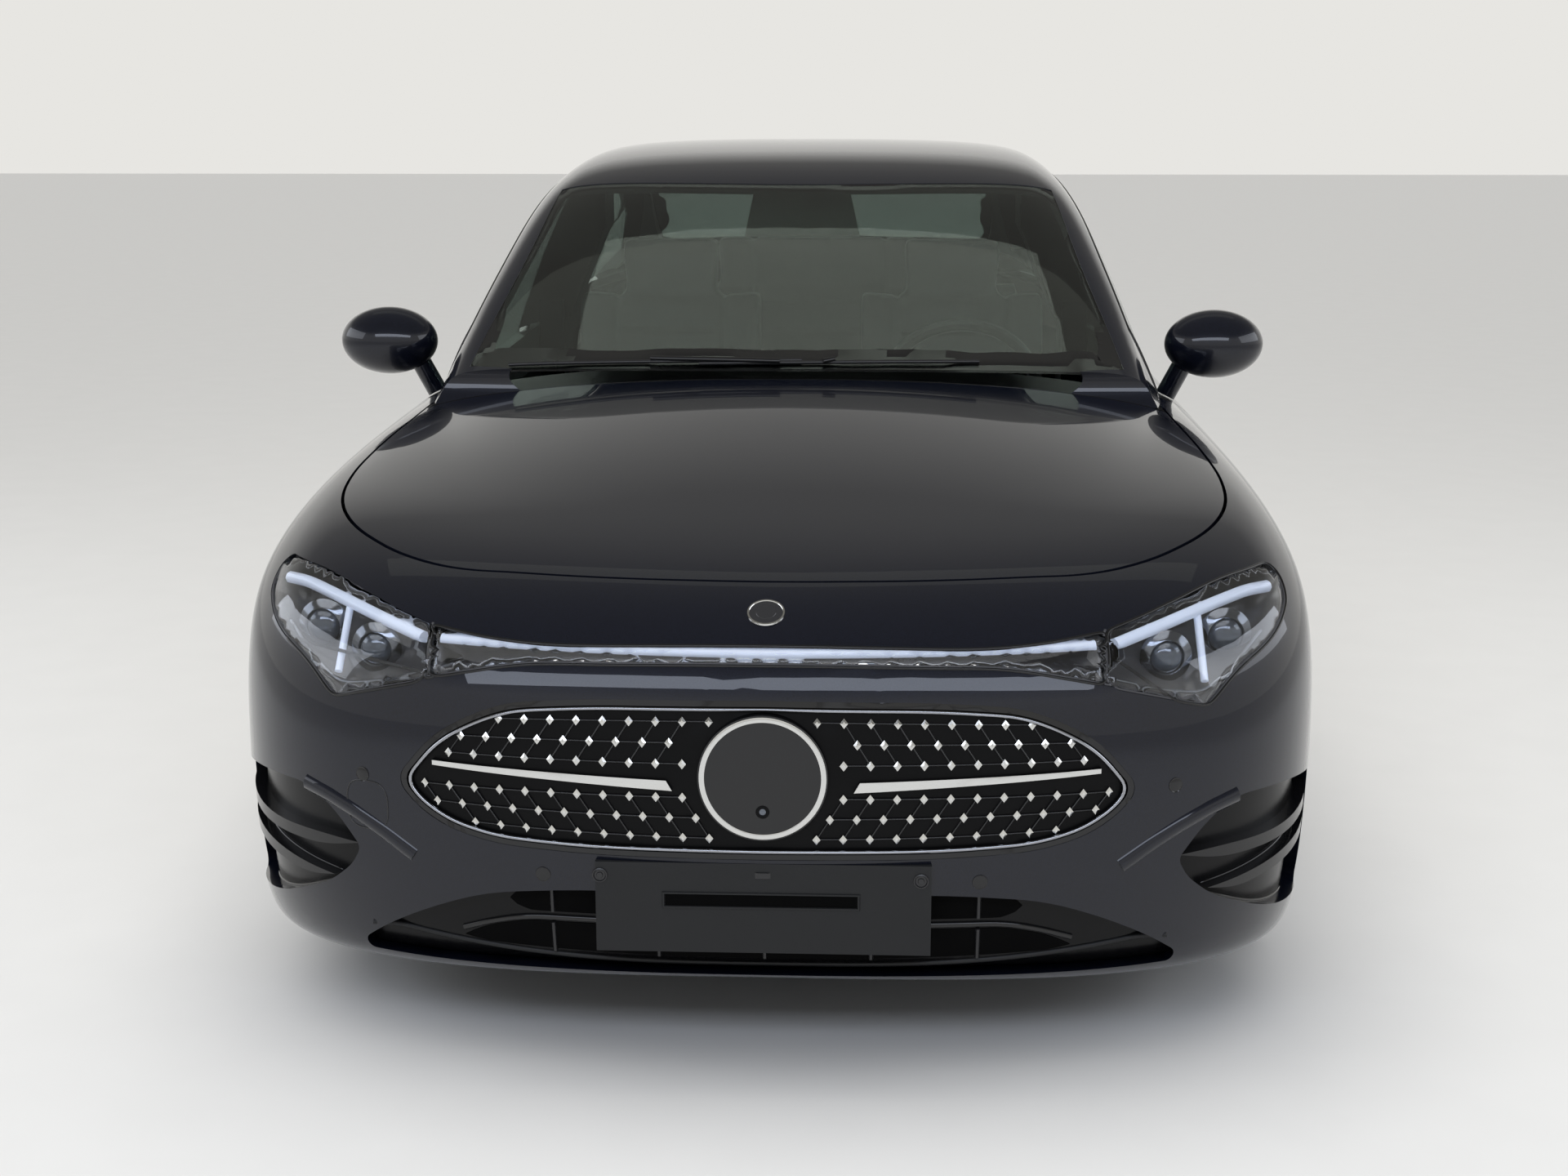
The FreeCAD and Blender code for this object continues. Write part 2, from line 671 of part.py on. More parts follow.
arches = [drum(arch_radius, 3 * half_width, V(0, y, size.tyre_radius), X_AXIS) for y in (front_axle_y, rear_axle_y)]
lamp_cutters = lamp_holes + [band_hole]

# Bonnet hinge line: across the car below the foot of the windscreen
bonnet_rear_y = hood(1.0) - size.shut_gap
bonnet_hinge_y = bonnet_rear_y - size.bonnet_seat_radius
bonnet_skin = front_skin.common(through_top(bonnet_outline))
shoulder = bonnet_skin.common(box(-half_width, half_width, bonnet_hinge_y, bonnet_hinge_y + 1, 0, top_level))
bonnet_hinge_z = shoulder.BoundBox.ZMax - size.bonnet_depth


def across_cylinder(radius, y, z):
    return drum(radius, 3 * half_width, V(0, y, z), X_AXIS)


bonnet_swing = across_cylinder(size.bonnet_seat_radius, bonnet_hinge_y, bonnet_hinge_z)
behind_bonnet = box(-half_width, half_width, bonnet_hinge_y, 0, 0, 2 * top_level).cut(bonnet_swing)
bonnet = bonnet_skin.cut(behind_bonnet)
keep("bonnet", bonnet)

bonnet_opening = through_top(bonnet_outline, inset=-size.shut_gap)
rear_of_cowl = box(-half_width, half_width, hood(1.0) - size.bonnet_seat_radius, FAR, 0, 2 * top_level)
cowl_seat = across_cylinder(size.bonnet_seat_radius + size.shut_gap, bonnet_hinge_y, bonnet_hinge_z)
cowl_outline = scaled([(-0.86, 0.90), (0.86, 0.90), (0.86, 1.12), (-0.86, 1.12)], width_share, hood)
cowl_zone = through_top(cowl_outline)
cowl_skin = front_skin.common(through_top(bonnet_outline)).common(cowl_zone)
cowl_skin = cowl_skin.cut(box(width_share(0.785), FAR, cabin(FRONT_DOOR_SHARE) - size.hinge_seat_radius / 2, FAR, 0, FAR))
cowl_skin = cowl_skin.cut(box(-FAR, -width_share(0.785), cabin(FRONT_DOOR_SHARE) - size.hinge_seat_radius / 2, FAR, 0, FAR))
cowl_skin = cowl_skin.cut(cowl_seat).cut(box(-half_width, half_width, nose_y, bonnet_hinge_y, 0, 2 * top_level))

not_bonnet = [bonnet_opening.common(box(-half_width, half_width, nose_y, hood(1.02), 0, 2 * top_level))]
front_bumper = front_skin.common(bumper_zone)
front_bumper = front_bumper.cut(lamp_cutters + [grille_hole, intake_hole, nose_zone] + curtain_holes + arches[:1])
front_bumper = front_bumper.cut(not_bonnet)
keep("front_bumper", front_bumper)
nose_panel = front_skin.common(nose_zone).cut(not_bonnet + lamp_cutters)
keep("nose_panel", nose_panel)

# Lamps, grille and intakes are set into their holes, flush or just below the skin
lamp_skin = body_layer(size.lens_recess, size.lamp_depth, *front_v)
keep("front_lamps", Part.Compound([lamp_skin.common(tool) for tool in lamp_holes]
                                  + [lamp_skin.common(band_hole).cut(lamp_holes)]))  # fmt: skip
grille_skin = body_layer(size.grille_recess, size.grille_recess + size.grille_depth, *front_v)
grille_panel = grille_skin.common(grille_hole)
grille_inside = through_nose(grille_outline, size.grille_corner, size.grille_frame)
frame_skin = body_layer(size.lens_recess, size.grille_recess + size.grille_depth / 2, *front_v)
grille_frame = frame_skin.common(grille_hole).cut(grille_inside)
bar_outline = scaled(GRILLE_BAR_SHARES, width_share, height_share)
grille_bar = frame_skin.common(through_nose(bar_outline))
disc_z = height_share(0.362)
disc = Part.makeCylinder(size.disc_radius, size.disc_depth, V(0, nose_y + size.disc_recess, disc_z), Y_AXIS)
keep("grille", grille_panel.fuse([grille_frame, grille_bar, mirror_image(grille_bar), disc]))
intake_skin = body_layer(size.intake_recess, size.intake_recess + size.grille_depth, *front_v)
splitter = body_layer(0, size.splitter_depth, *front_v)
splitter = splitter.common(box(-half_width, half_width, nose_y, hood(0.30), 0, height_share(0.128)))
splitter = splitter.cut(front_bumper)
keep("lower_intake", intake_skin.common(intake_hole).fuse(splitter))
blade_skin = body_layer(size.blade_recess, size.intake_recess + size.grille_depth / 2, *front_v)
curtains = []
for side, hole in zip((LEFT, RIGHT), curtain_holes):
    blades = [blade_skin.common(corner_prism(hood_places(shares), side, CURTAIN_VIEW_ANGLE, 0, corner_far)).common(hole)
              for shares in (UPPER_BLADE_SHARES, LOWER_BLADE_SHARES)]  # fmt: skip
    curtains.append(intake_skin.common(hole).fuse(blades))
keep("air_curtains", Part.Compound(curtains))

# Doors and their hinges

lean = math.radians(size.hinge_lean)


class Hinge:
    """The axis a left-hand door swings about, leaning inwards at its top."""

    def __init__(self, shut_share):
        self.y = cabin(shut_share) + size.shut_gap / 2 + size.hinge_seat_radius
        self.x = half_width - size.hinge_inset
        self.z = height_share(0.42)
        self.axis = V(-math.sin(lean), 0, math.cos(lean))

    def cylinder(self, radius):
        return drum(radius, 2 * size.overall_height, V(self.x, self.y, self.z), self.axis)

    def ahead(self):
        """Everything ahead of the axis that would not swing inside the seat."""
        front = box(0, 2 * half_width, self.y - half_width, self.y, -half_width, 2 * size.overall_height)
        return front.cut(self.cylinder(size.hinge_seat_radius))

    def seat(self):
        return self.cylinder(size.hinge_seat_radius + size.shut_gap)

    def at(self, share):
        """The point of the axis at this share of the overall height."""
        return V(self.x, self.y, self.z) + self.axis * ((height_share(share) - self.z) / self.axis.z)

    def pocket(self, share):
        """The room inside the door that turns round one fixed hinge strap."""
        middle = self.at(share)
        room = drum(size.hinge_seat_radius + size.shut_gap, size.hinge_pocket, middle, self.axis)
        outer_x = middle.x + size.pin_radius + size.hinge_pocket * math.sin(lean)
        return room.common(box(0, outer_x, -half_width * 2, half_width * 2, 0, half_width * 2))

    def strap(self, share):
        """A pin on the axis, held by a strap from the post inboard of the door."""
        middle = self.at(share)
        pin = drum(size.pin_radius, size.hinge_pocket - 2 * size.seat_gap, middle, self.axis)
        half = size.hinge_pocket / 4
        arm = box(post_x1 - half, middle.x, middle.y - size.pin_radius, middle.y + size.pin_radius, middle.z - half,
                  middle.z + half)  # fmt: skip
        return pin.fuse(arm)


post_x1 = width_share(DOOR_INNER_SHARE) - size.shut_gap
post_x0 = post_x1 - size.post_width
HINGE_SHARES = (0.34, 0.50)
front_hinge = Hinge(FRONT_DOOR_SHARE)
rear_hinge = Hinge(REAR_DOOR_SHARE)
sill_top = height_share(SILL_TOP_SHARE)
FRONT_DOOR_END_SHARE = REAR_DOOR_SHARE - 0.001
front_door_shares = [
    (FRONT_DOOR_SHARE - 0.02, SILL_TOP_SHARE), (FRONT_DOOR_SHARE - 0.02, DOOR_TOP_SHARE),
    (FRONT_DOOR_END_SHARE, DOOR_TOP_SHARE), (FRONT_DOOR_END_SHARE, SILL_TOP_SHARE),
]  # fmt: skip
rear_door_shares = [(REAR_DOOR_SHARE - 0.02, SILL_TOP_SHARE), (REAR_DOOR_SHARE - 0.02, DOOR_TOP_SHARE)]
rear_door_shares += REAR_DOOR_END_SHARES
side_v = (MID_V + 8.5, MID_V + 18.5)
flange_layer = body_layer(0, size.door_flange_depth, *side_v)
core_layer = body_layer(size.door_flange_depth / 2, size.door_depth, *side_v)
door_side = box(width_share(DOOR_INNER_SHARE), 2 * half_width, -FAR, FAR, 0, FAR)
window_outline = scaled(WINDOW_SHARES, cabin, height_share)
glass_skin = cabin_layer(size.glass_recess, size.glass_recess + size.glass_depth)
left_side = box(0, 2 * half_width, -FAR, FAR, 0, FAR)
window_glass = glass_skin.common(through_side(window_outline, inset=size.glass_clearance)).common(left_side)


def door_shell(shares, hinge):
    """A door: an outer flange over a thicker core, turned round its hinge at the front."""
    outline = scaled(shares, cabin, height_share)
    flange = flange_layer.common(through_side(outline, size.door_corner).common(door_side).cut(hinge.ahead()))
    core_zone = through_side(outline, size.door_corner, size.door_inset).common(door_side)
    core = core_layer.common(core_zone.cut(hinge.ahead()))
    return flange.fuse(core).cut([hinge.pocket(share) for share in HINGE_SHARES])


def between(first, last):
    return box(0, 2 * half_width, first, last, 0, FAR)


front_door = door_shell(front_door_shares, front_hinge).cut(rear_hinge.seat())
rear_door = door_shell(rear_door_shares, rear_hinge)
pane_start = front_hinge.y - size.hinge_seat_radius * 0.6
front_pane = window_glass.common(between(pane_start, cabin(PILLAR_FRONT_SHARE)))
rear_pane = window_glass.common(between(cabin(PILLAR_REAR_SHARE), cabin(REAR_GLASS_END_SHARE)))
quarter_pane = glass_skin.common(through_side(window_outline)).common(between(cabin(REAR_GLASS_END_SHARE) + size.shut_gap, FAR))
over_doors = body_layer(-size.shut_gap, size.door_depth + size.shut_gap, *side_v)
quarter_pane = quarter_pane.cut(over_doors)
groove_layer = body_layer(-size.groove_depth, size.groove_depth, *side_v)


def handle_groove(end_share):
    """The groove round a flush handle whose rear end lies at this place along the cabin."""
    rear = cabin(end_share)
    front = rear - size.handle_length
    foot = height_share(HANDLE_FOOT_SHARE)
    top = foot + size.handle_height
    outline = [(front, foot), (rear, foot), (rear, top), (front, top)]
    pull = through_side(outline, size.handle_height / 2, size.groove_width)
    return groove_layer.common(through_side(outline, size.handle_height / 2).cut(pull)).common(left_side)


keep_pair("door_front", front_door.cut(front_pane).cut(handle_groove(FRONT_HANDLE_SHARE)))
keep_pair("door_rear", rear_door.cut(rear_pane).cut(handle_groove(REAR_HANDLE_SHARE)))
keep_pair("window_front", front_pane)
keep_pair("window_rear", rear_pane)

# Fenders

fender_v = (MID_V + 2.5, MID_V + REACH_V)
fender_skin = body_layer(0, size.skin_depth, *fender_v)
shut_y = front_hinge.y - size.hinge_seat_radius - size.shut_gap
fender_zone = between(nose_y, front_hinge.y - size.hinge_seat_radius / 2)
fender = fender_skin.common(fender_zone)
fender = fender.cut(box(0, width_share(0.872), shut_y, FAR, height_share(0.60), FAR))
fender = fender.cut(box(0, width_share(0.785), bonnet_hinge_y, FAR, height_share(0.50), FAR))
for tool in [nose_zone, arches[0], front_hinge.seat(), bumper_zone, lamp_holes[0]] + not_bonnet:
    fender = fender.cut(tool)
fender = fender.cut(box(0, width_share(0.86), bonnet_hinge_y, FAR, 0, FAR).common(through_top(bonnet_outline)))
fender = fender.cut(box(0, 2 * half_width, front_axle_y, FAR, 0, sill_top - size.shut_gap))
keep_pair("fender", fender)

# Body sides: sill, quarter, pillars and roof rail in one piece

rail = cabin_layer(size.seat_gap, size.rail_depth, v0=0, v1=CABIN_END[3]).common(left_side)
roof_outline = doubled(scaled(ROOF_SHARES, width_share, cabin))
screen_outline = doubled(scaled(WINDSCREEN_SHARES, width_share, cabin))
back_outline = doubled(scaled(REAR_WINDOW_SHARES, width_share, cabin))
above_cabin = size.overall_height / 3


def through_roof(outline, inset=0.0):
    return prism(TOP, outline, above_cabin, 2 * size.overall_height, 0.0, inset)


rail = rail.cut([through_roof(roof_outline), through_roof(screen_outline), through_roof(back_outline)])
rail = rail.cut(through_side(window_outline))
rail = rail.cut(box(0, 2 * half_width, -FAR, cabin(0.10), 0, FAR))
rail = rail.cut(box(-half_width, width_share(0.5), -FAR, cabin(0.38), 0, FAR))
rail = rail.cut(cowl_seat.common(bonnet_opening))
under_body = body_layer(0, 6 * size.skin_depth, MID_V, MID_V + 14, u0=6.0)
under_body = under_body.fuse(tail_layer(0, 6 * size.skin_depth, 0, 12, u0=6.0))
rail = rail.cut(under_body)
rail = rail.cut(box(0, 2 * half_width, -FAR, FAR, 0, height_share(0.635)))
sail = glass_skin.common(through_side(window_outline)).common(between(-FAR, pane_start - size.shut_gap)).cut(under_body)
rail = rail.fuse(sail.common(left_side)).cut(over_doors.common(between(shut_y, cabin(1.02))))
pillar_outline = scaled([(PILLAR_FRONT_SHARE, 0.60), (PILLAR_FRONT_SHARE, 0.97), (PILLAR_REAR_SHARE, 0.97),
                         (PILLAR_REAR_SHARE, 0.60)], cabin, height_share)  # fmt: skip
pillar = cabin_layer(size.glass_recess, size.pillar_depth).common(left_side)
pillar = pillar.common(through_side(pillar_outline, inset=size.glass_clearance))
pillar = pillar.cut([over_doors, through_roof(roof_outline)])
post = box(post_x0, post_x1, cabin(0.588), cabin(0.588) + size.post_length, sill_top - size.sill_height / 2,
           height_share(0.71))  # fmt: skip
post_face = body_layer(0, size.door_depth + size.shut_gap, *side_v)
post_face = post_face.common(box(post_x0, width_share(0.94), cabin(REAR_DOOR_SHARE) + size.shut_gap, rear_hinge.y,
                                 sill_top + size.shut_gap, height_share(0.70)))  # fmt: skip
post_face = post_face.cut(rear_hinge.seat())
quarter_skin = tail_layer(0, size.skin_depth, 0, 13)
tail_bumper_zone = through_side(scaled(TAIL_BUMPER_SHARES, tail, height_share))
tail_lamp_holes = [corner_prism(tail_places(TAIL_LAMP_SHARES), side, TAIL_VIEW_ANGLE, 0, corner_far)
                   for side in (LEFT, RIGHT)]  # fmt: skip
rear_door_outline = scaled(rear_door_shares, cabin, height_share)
behind_door = between(rear_hinge.y + 3 * size.hinge_seat_radius, FAR)
quarter = quarter_skin.common(behind_door).cut(through_side(rear_door_outline, size.door_corner, -size.shut_gap))
lid_outline = doubled(scaled(LID_SHARES, width_share, height_share))
lid_front_y = cabin(LID_FRONT_SHARE)


def through_tail(outline, inset=0.0, radius=0.0):
    return prism(FRONT, outline, lid_front_y, FAR, radius, inset)


lid_opening = through_tail(lid_outline, -size.shut_gap)
deck_zone = box(-width_share(0.62), width_share(0.62), cabin(1.08), lid_front_y, 0, FAR)
quarter = quarter.cut([tail_bumper_zone, arches[1], lid_opening, deck_zone] + tail_lamp_holes)
quarter = quarter.cut(box(0, 2 * half_width, -FAR, cabin(0.90), 0, sill_top))
front_post = box(post_x0, post_x1, front_hinge.y - size.post_length / 2, front_hinge.y + size.post_length / 3,
                 sill_top - size.sill_height / 2, height_share(0.60))  # fmt: skip
straps = [hinge.strap(share) for hinge in (front_hinge, rear_hinge) for share in HINGE_SHARES]
sill_skin = body_layer(0, size.skin_depth, MID_V + 8, MID_V + 18, u0=0.0, u1=5.0)
sill_zone = box(width_share(0.80), 2 * half_width, front_axle_y, rear_axle_y, 0, sill_top - size.shut_gap)
sill = sill_skin.common(sill_zone).cut(arches)
sill_core = box(post_x0, width_share(0.945), front_axle_y + arch_radius + size.shut_gap,
                rear_axle_y - arch_radius - size.shut_gap, height_share(0.125),
                sill_top - size.shut_gap)  # fmt: skip
side = sill.fuse([sill_core, post, post_face, front_post, pillar, rail, quarter] + straps)
keep_pair("side_frame", side)

# Roof, screens and rear deck

roof = cabin_layer(0, size.roof_depth).common(through_roof(roof_outline))
keep("roof_panel", roof)
screen = cabin_layer(size.glass_recess, size.glass_recess + size.glass_depth)
windscreen = screen.common(through_roof(screen_outline)).cut(body_layer(0, 6 * size.skin_depth, *front_v, u0=6.0))
windscreen = windscreen.cut(cowl_seat)
keep("windscreen", windscreen)
rear_v = (FULL_BODY[2], FULL_BODY[3])
rear_window = screen.common(through_roof(back_outline))
rear_window = rear_window.cut(tail_layer(0, 6 * size.skin_depth, -13, 13, u0=6.0))
rear_window = rear_window.cut(box(-FAR, FAR, lid_front_y - size.shut_gap, FAR, 0, FAR))
keep("rear_window", rear_window)
keep("quarter_windows", Part.Compound([quarter_pane, mirror_image(quarter_pane)]))

keep("cowl_panel", cowl_skin)

lid_skin = tail_layer(0, size.bonnet_depth, -11, 11)
lid_hinge_y = lid_front_y + size.lid_seat_radius
lid_top = lid_skin.common(box(-half_width, half_width, lid_hinge_y, lid_hinge_y + 1, 0, FAR)).BoundBox.ZMax
lid_hinge_z = lid_top - size.bonnet_depth
lid_swing = across_cylinder(size.lid_seat_radius, lid_hinge_y, lid_hinge_z)
ahead_of_lid = box(-half_width, half_width, 0, lid_hinge_y, 0, 2 * top_level).cut(lid_swing)
lid = lid_skin.common(through_tail(lid_outline)).cut(ahead_of_lid)
lid_lamp_zone = prism(FRONT, doubled(scaled(LID_LAMP_SHARES, width_share, height_share)), tail(0.3), FAR)
lid_lamp = tail_layer(0, size.bonnet_depth / 2, -11, 11).common(lid_lamp_zone).common(lid)
keep("boot_lid", lid.cut(lid_lamp))
keep("lid_lamp", lid_lamp)
lid_seat = across_cylinder(size.lid_seat_radius + size.shut_gap, lid_hinge_y, lid_hinge_z)
deck = tail_layer(0, size.skin_depth, -13, 13).common(deck_zone).cut(lid_seat)
keep("rear_deck", deck)
tail_skin = tail_layer(0, size.skin_depth, -13, 13)
tail_bumper = tail_skin.common(tail_bumper_zone).cut([arches[1], lid_opening] + tail_lamp_holes)
# A recess for the rear plate, and a sunk valance below it with upright fins
plate_recess = tail_layer(-size.plate_recess_depth, size.plate_recess_depth, -7, 7)
plate_recess = plate_recess.common(box(-size.plate_width / 2 - size.shut_gap, size.plate_width / 2 + size.shut_gap,
                                       tail(0.5), FAR, height_share(0.355), height_share(0.445)))  # fmt: skip
valance_outline = doubled(scaled(VALANCE_SHARES, width_share, height_share))
valance = tail_layer(-size.valance_depth, size.valance_depth, -10, 10)
valance = valance.common(prism(FRONT, valance_outline, tail(0.35), FAR, size.intake_corner))
for share in VALANCE_FIN_SHARES:
    middle = width_share(share)
    valance = valance.cut(box(middle - size.valance_fin / 2, middle + size.valance_fin / 2, 0, FAR, 0, FAR))
keep("rear_bumper", tail_bumper.cut(plate_recess).cut(valance))
lamp_back = tail_layer(size.lens_recess, size.lamp_depth, 0, 13)
tail_lamp = lamp_back.common(tail_lamp_holes[0]).cut(lid_opening)
keep("tail_lamps", Part.Compound([tail_lamp, mirror_image(tail_lamp)]))

# Door mirrors: a housing on a short foot at the front of each side window

mirror_y = cabin(0.226)
mirror_z = height_share(0.708)
housing = Part.makeSphere(size.mirror_radius, V(0, 0, 0), -Y_AXIS, -size.mirror_back_angle, 90, 360)
stretch = FreeCAD.Matrix()
stretch.scale(V(size.mirror_width / (2 * size.mirror_radius), size.mirror_length / (2 * size.mirror_radius),
                size.mirror_height / (2 * size.mirror_radius)))  # fmt: skip
housing = housing.transformGeometry(stretch)
mirror_x = half_width + size.mirror_reach - size.mirror_width / 2
housing = housing.translated(V(mirror_x, mirror_y, mirror_z))
foot_start = V(width_share(0.872), mirror_y + size.mirror_length / 4, height_share(0.626))
foot_end = V(mirror_x - size.mirror_width / 5, mirror_y, mirror_z)
foot_line = foot_end - foot_start
foot = Part.makeCylinder(size.mirror_foot, foot_line.Length, foot_start, foot_line)
mirror = housing.fuse(foot).cut(front_door).cut(front_pane)
keep_pair("mirror", mirror)
# The plate carrier on the front bumper

plate_holder = box(-size.plate_width / 2, size.plate_width / 2, nose_y, nose_y + 3 * size.skin_depth,
                   height_share(0.168), height_share(0.268))  # fmt: skip
keep("plate_carrier", plate_holder.cut([body_layer(-size.seat_gap, 6 * size.skin_depth, *front_v)]))

# From here on every piece is a feature whose sizes stay bound to the sheet. These give its places as formulas.

FRONT_AXLE = "(Sizes.front_overhang - Sizes.overall_length / 2)"
REAR_AXLE = "(Sizes.front_overhang + Sizes.wheelbase - Sizes.overall_length / 2)"


def along(share):
    """A place along the car, as a share of the wheelbase behind the front axle."""
    return "(%s + %s * Sizes.wheelbase)" % (FRONT_AXLE, share)


def on_nose(share):
    """A place on the nose: 0 at the front of the car and 1 at the foot of the windscreen."""
    return "(%s * (Sizes.front_overhang + %s * Sizes.wheelbase) - Sizes.overall_length / 2)" % (share, COWL_SHARE)


def on_tail(share):
    """A place on the tail: 0 at the rear of the car and 1 at the rear axle."""
    return "(Sizes.overall_length / 2 - %s * (Sizes.overall_length / 2 - %s))" % (share, REAR_AXLE)


def across(share):
    return "(%s * Sizes.overall_width / 2)" % share


def up(share):
    return "(%s * Sizes.overall_height)" % share


def less(place, *taken):
    """A place with some lengths taken from it."""
    return "(" + " - ".join((place,) + taken) + ")"


def plus(place, *added):
    return "(" + " + ".join((place,) + added) + ")"


PLATE = "Sizes.panel_thickness"
WHEEL_X = "Sizes.track_width / 2"
WHEEL_Z = "Sizes.tyre_radius"
FLOOR_X = less(across(DOOR_INNER_SHARE), "Sizes.shut_gap", "Sizes.post_width", "Sizes.seat_gap")
FLOOR_Z = "(Sizes.ground_clearance + Sizes.battery_height)"
SEAT_Z = plus(FLOOR_Z, PLATE)
FIREWALL_Y = along(0.150)
HEEL_Y = along(0.860)
BOOT_Z = up(0.345)
BOOT_X = less(WHEEL_X, "Sizes.tyre_width / 2", "Sizes.liner_gap")
BOOT_END = on_tail(0.22)
RAIL_TOP = less(BOOT_Z, "2 * Sizes.panel_thickness")
RAIL_FOOT = less(RAIL_TOP, "Sizes.rail_width")
HUB_X = less(WHEEL_X, "Sizes.hub_inset")
CARRIER_X = less(HUB_X, "Sizes.hub_length")
KINGPIN_X = less(WHEEL_X, "Sizes.kingpin_inset")
BALL_Z = less(WHEEL_Z, "Sizes.hub_radius", "Sizes.ball_radius")


def node(feature, label):
    """Names a finished piece and lists it for its own file."""
    feature.Label = label
    made.append(feature)
    return feature


def placed(feature, x="0", y="0", z="0"):
    for axis, place in (("x", x), ("y", y), ("z", z)):
        feature.setExpression("Placement.Base." + axis, place)
    return feature


def block(name, x, y, z):
    """A box between two places along each axis."""
    feature = doc.addObject("Part::Box", name)
    for length, (start, end) in (("Length", x), ("Width", y), ("Height", z)):
        feature.setExpression(length, less(end, start))
    return placed(feature, x[0], y[0], z[0])


def crosswise_bar(name, radius, x, y, z):
    """A round bar across the car, between two places along X."""
    feature = doc.addObject("Part::Cylinder", name)
    feature.Placement.Rotation = FreeCAD.Rotation(Y_AXIS, 90)
    feature.setExpression("Radius", radius)
    feature.setExpression("Height", less(x[1], x[0]))
    return placed(feature, x[0], y, z)


def upright_bar(name, radius, x, y, z):
    feature = doc.addObject("Part::Cylinder", name)
    feature.setExpression("Radius", radius)
    feature.setExpression("Height", less(z[1], z[0]))
    return placed(feature, x, y, z[0])


def joined(name, pieces):
    feature = doc.addObject("Part::MultiFuse", name)
    feature.Shapes = pieces
    return feature


def cut_from(name, base, tool):
    feature = doc.addObject("Part::Cut", name)
    feature.Base = base
    feature.Tool = tool
    return feature


def shared(name, base, tool):
    feature = doc.addObject("Part::Common", name)
    feature.Base = base
    feature.Tool = tool
    return feature


def other_side(name, source):
    """The mirror image on the car's right side."""
    feature = doc.addObject("Part::Mirroring", name)
    feature.Source = source
    feature.Normal = X_AXIS
    return feature


def plane_of(body, role):
    return next(plane for plane in body.Origin.OriginFeatures if plane.Role == role)


ACROSS_CAR = "YZ_Plane"
FRONT_ON = "XZ_Plane"
FROM_ABOVE = "XY_Plane"


def profile(body, role, name, corners, offset=None):
    """A closed sketch whose corners are held at formulas of the sheet's sizes."""
    sketch = body.newObject("Sketcher::SketchObject", name)
    sketch.AttachmentSupport = (plane_of(body, role), [""])
    sketch.MapMode = "FlatFace"
    if offset:
        sketch.setExpression("AttachmentOffset.Base.z", offset)
    points = [V(float(sketch.evalExpression(a)), float(sketch.evalExpression(b)), 0) for a, b in corners]
    count = len(points)
    for k in range(count):
        sketch.addGeometry(Part.LineSegment(points[k], points[(k + 1) % count]))
    for k in range(count):
        sketch.addConstraint(Sketcher.Constraint("Coincident", k, 2, (k + 1) % count, 1))
    for k, (place, point) in enumerate(zip(corners, points)):
        for kind, formula, value in (("DistanceX", place[0], point.x), ("DistanceY", place[1], point.y)):
            number = sketch.addConstraint(Sketcher.Constraint(kind, -1, 1, k, 1, value))
            sketch.setExpression("Constraints[%d]" % number, formula)
    return sketch


def pad(body, sketch, length, side="Symmetric"):
    feature = body.newObject("PartDesign::Pad", sketch.Name + "_pad")
    feature.Profile = sketch
    feature.SideType = side
    feature.setExpression("Length", length)
    body.Tip = feature
    return feature


def turned(body, sketch, axis="H_Axis"):
    """The sketch swept once round its own level or upright axis."""
    feature = body.newObject("PartDesign::Revolution", sketch.Name + "_turned")
    feature.Profile = sketch
    feature.ReferenceAxis = (sketch, [axis])
    feature.Angle = 360
    body.Tip = feature
    return feature


def mirrored_pads(body, pads):
    feature = body.newObject("PartDesign::Mirrored", pads[0].Name + "_mirrored")
    feature.Originals = pads
    feature.MirrorPlane = (plane_of(body, ACROSS_CAR), [""])
    body.Tip = feature
    return feature


# Floor with firewall, heel board, boot floor and the two front rails behind the bumper beam

floor_pan = doc.addObject("PartDesign::Body", "floor_pan_body")
cabin_section_sketch = profile(floor_pan, ACROSS_CAR, "cabin_floor", [
    (FIREWALL_Y, FLOOR_Z), (plus(HEEL_Y, PLATE), FLOOR_Z), (plus(HEEL_Y, PLATE), plus(BOOT_Z, PLATE)),
    (HEEL_Y, plus(BOOT_Z, PLATE)), (HEEL_Y, SEAT_Z), (plus(FIREWALL_Y, PLATE), SEAT_Z),
    (plus(FIREWALL_Y, PLATE), up(0.60)), (FIREWALL_Y, up(0.60)),
])  # fmt: skip
pad(floor_pan, cabin_section_sketch, "2 * " + FLOOR_X)
boot_section_sketch = profile(floor_pan, ACROSS_CAR, "boot_floor", [
    (HEEL_Y, BOOT_Z), (BOOT_END, BOOT_Z), (BOOT_END, up(0.55)), (less(BOOT_END, PLATE), up(0.55)),
    (less(BOOT_END, PLATE), plus(BOOT_Z, PLATE)), (HEEL_Y, plus(BOOT_Z, PLATE)),
])  # fmt: skip
pad(floor_pan, boot_section_sketch, "2 * " + BOOT_X)
rail_sketch = profile(floor_pan, ACROSS_CAR, "front_rail", [
    (on_nose(0.16), RAIL_FOOT), (plus(FIREWALL_Y, PLATE), RAIL_FOOT), (plus(FIREWALL_Y, PLATE), RAIL_TOP),
    (on_nose(0.16), RAIL_TOP),
], offset="Sizes.rail_x")  # fmt: skip
rail_pad = pad(floor_pan, rail_sketch, "Sizes.rail_width")
mirrored_pads(floor_pan, [rail_pad])
beam_sketch = profile(floor_pan, ACROSS_CAR, "bumper_beam", [
    (on_nose(0.12), RAIL_FOOT), (on_nose(0.17), RAIL_FOOT), (on_nose(0.17), RAIL_TOP), (on_nose(0.12), RAIL_TOP),
])  # fmt: skip
pad(floor_pan, beam_sketch, across(1.12))
node(floor_pan, "floor_pan")

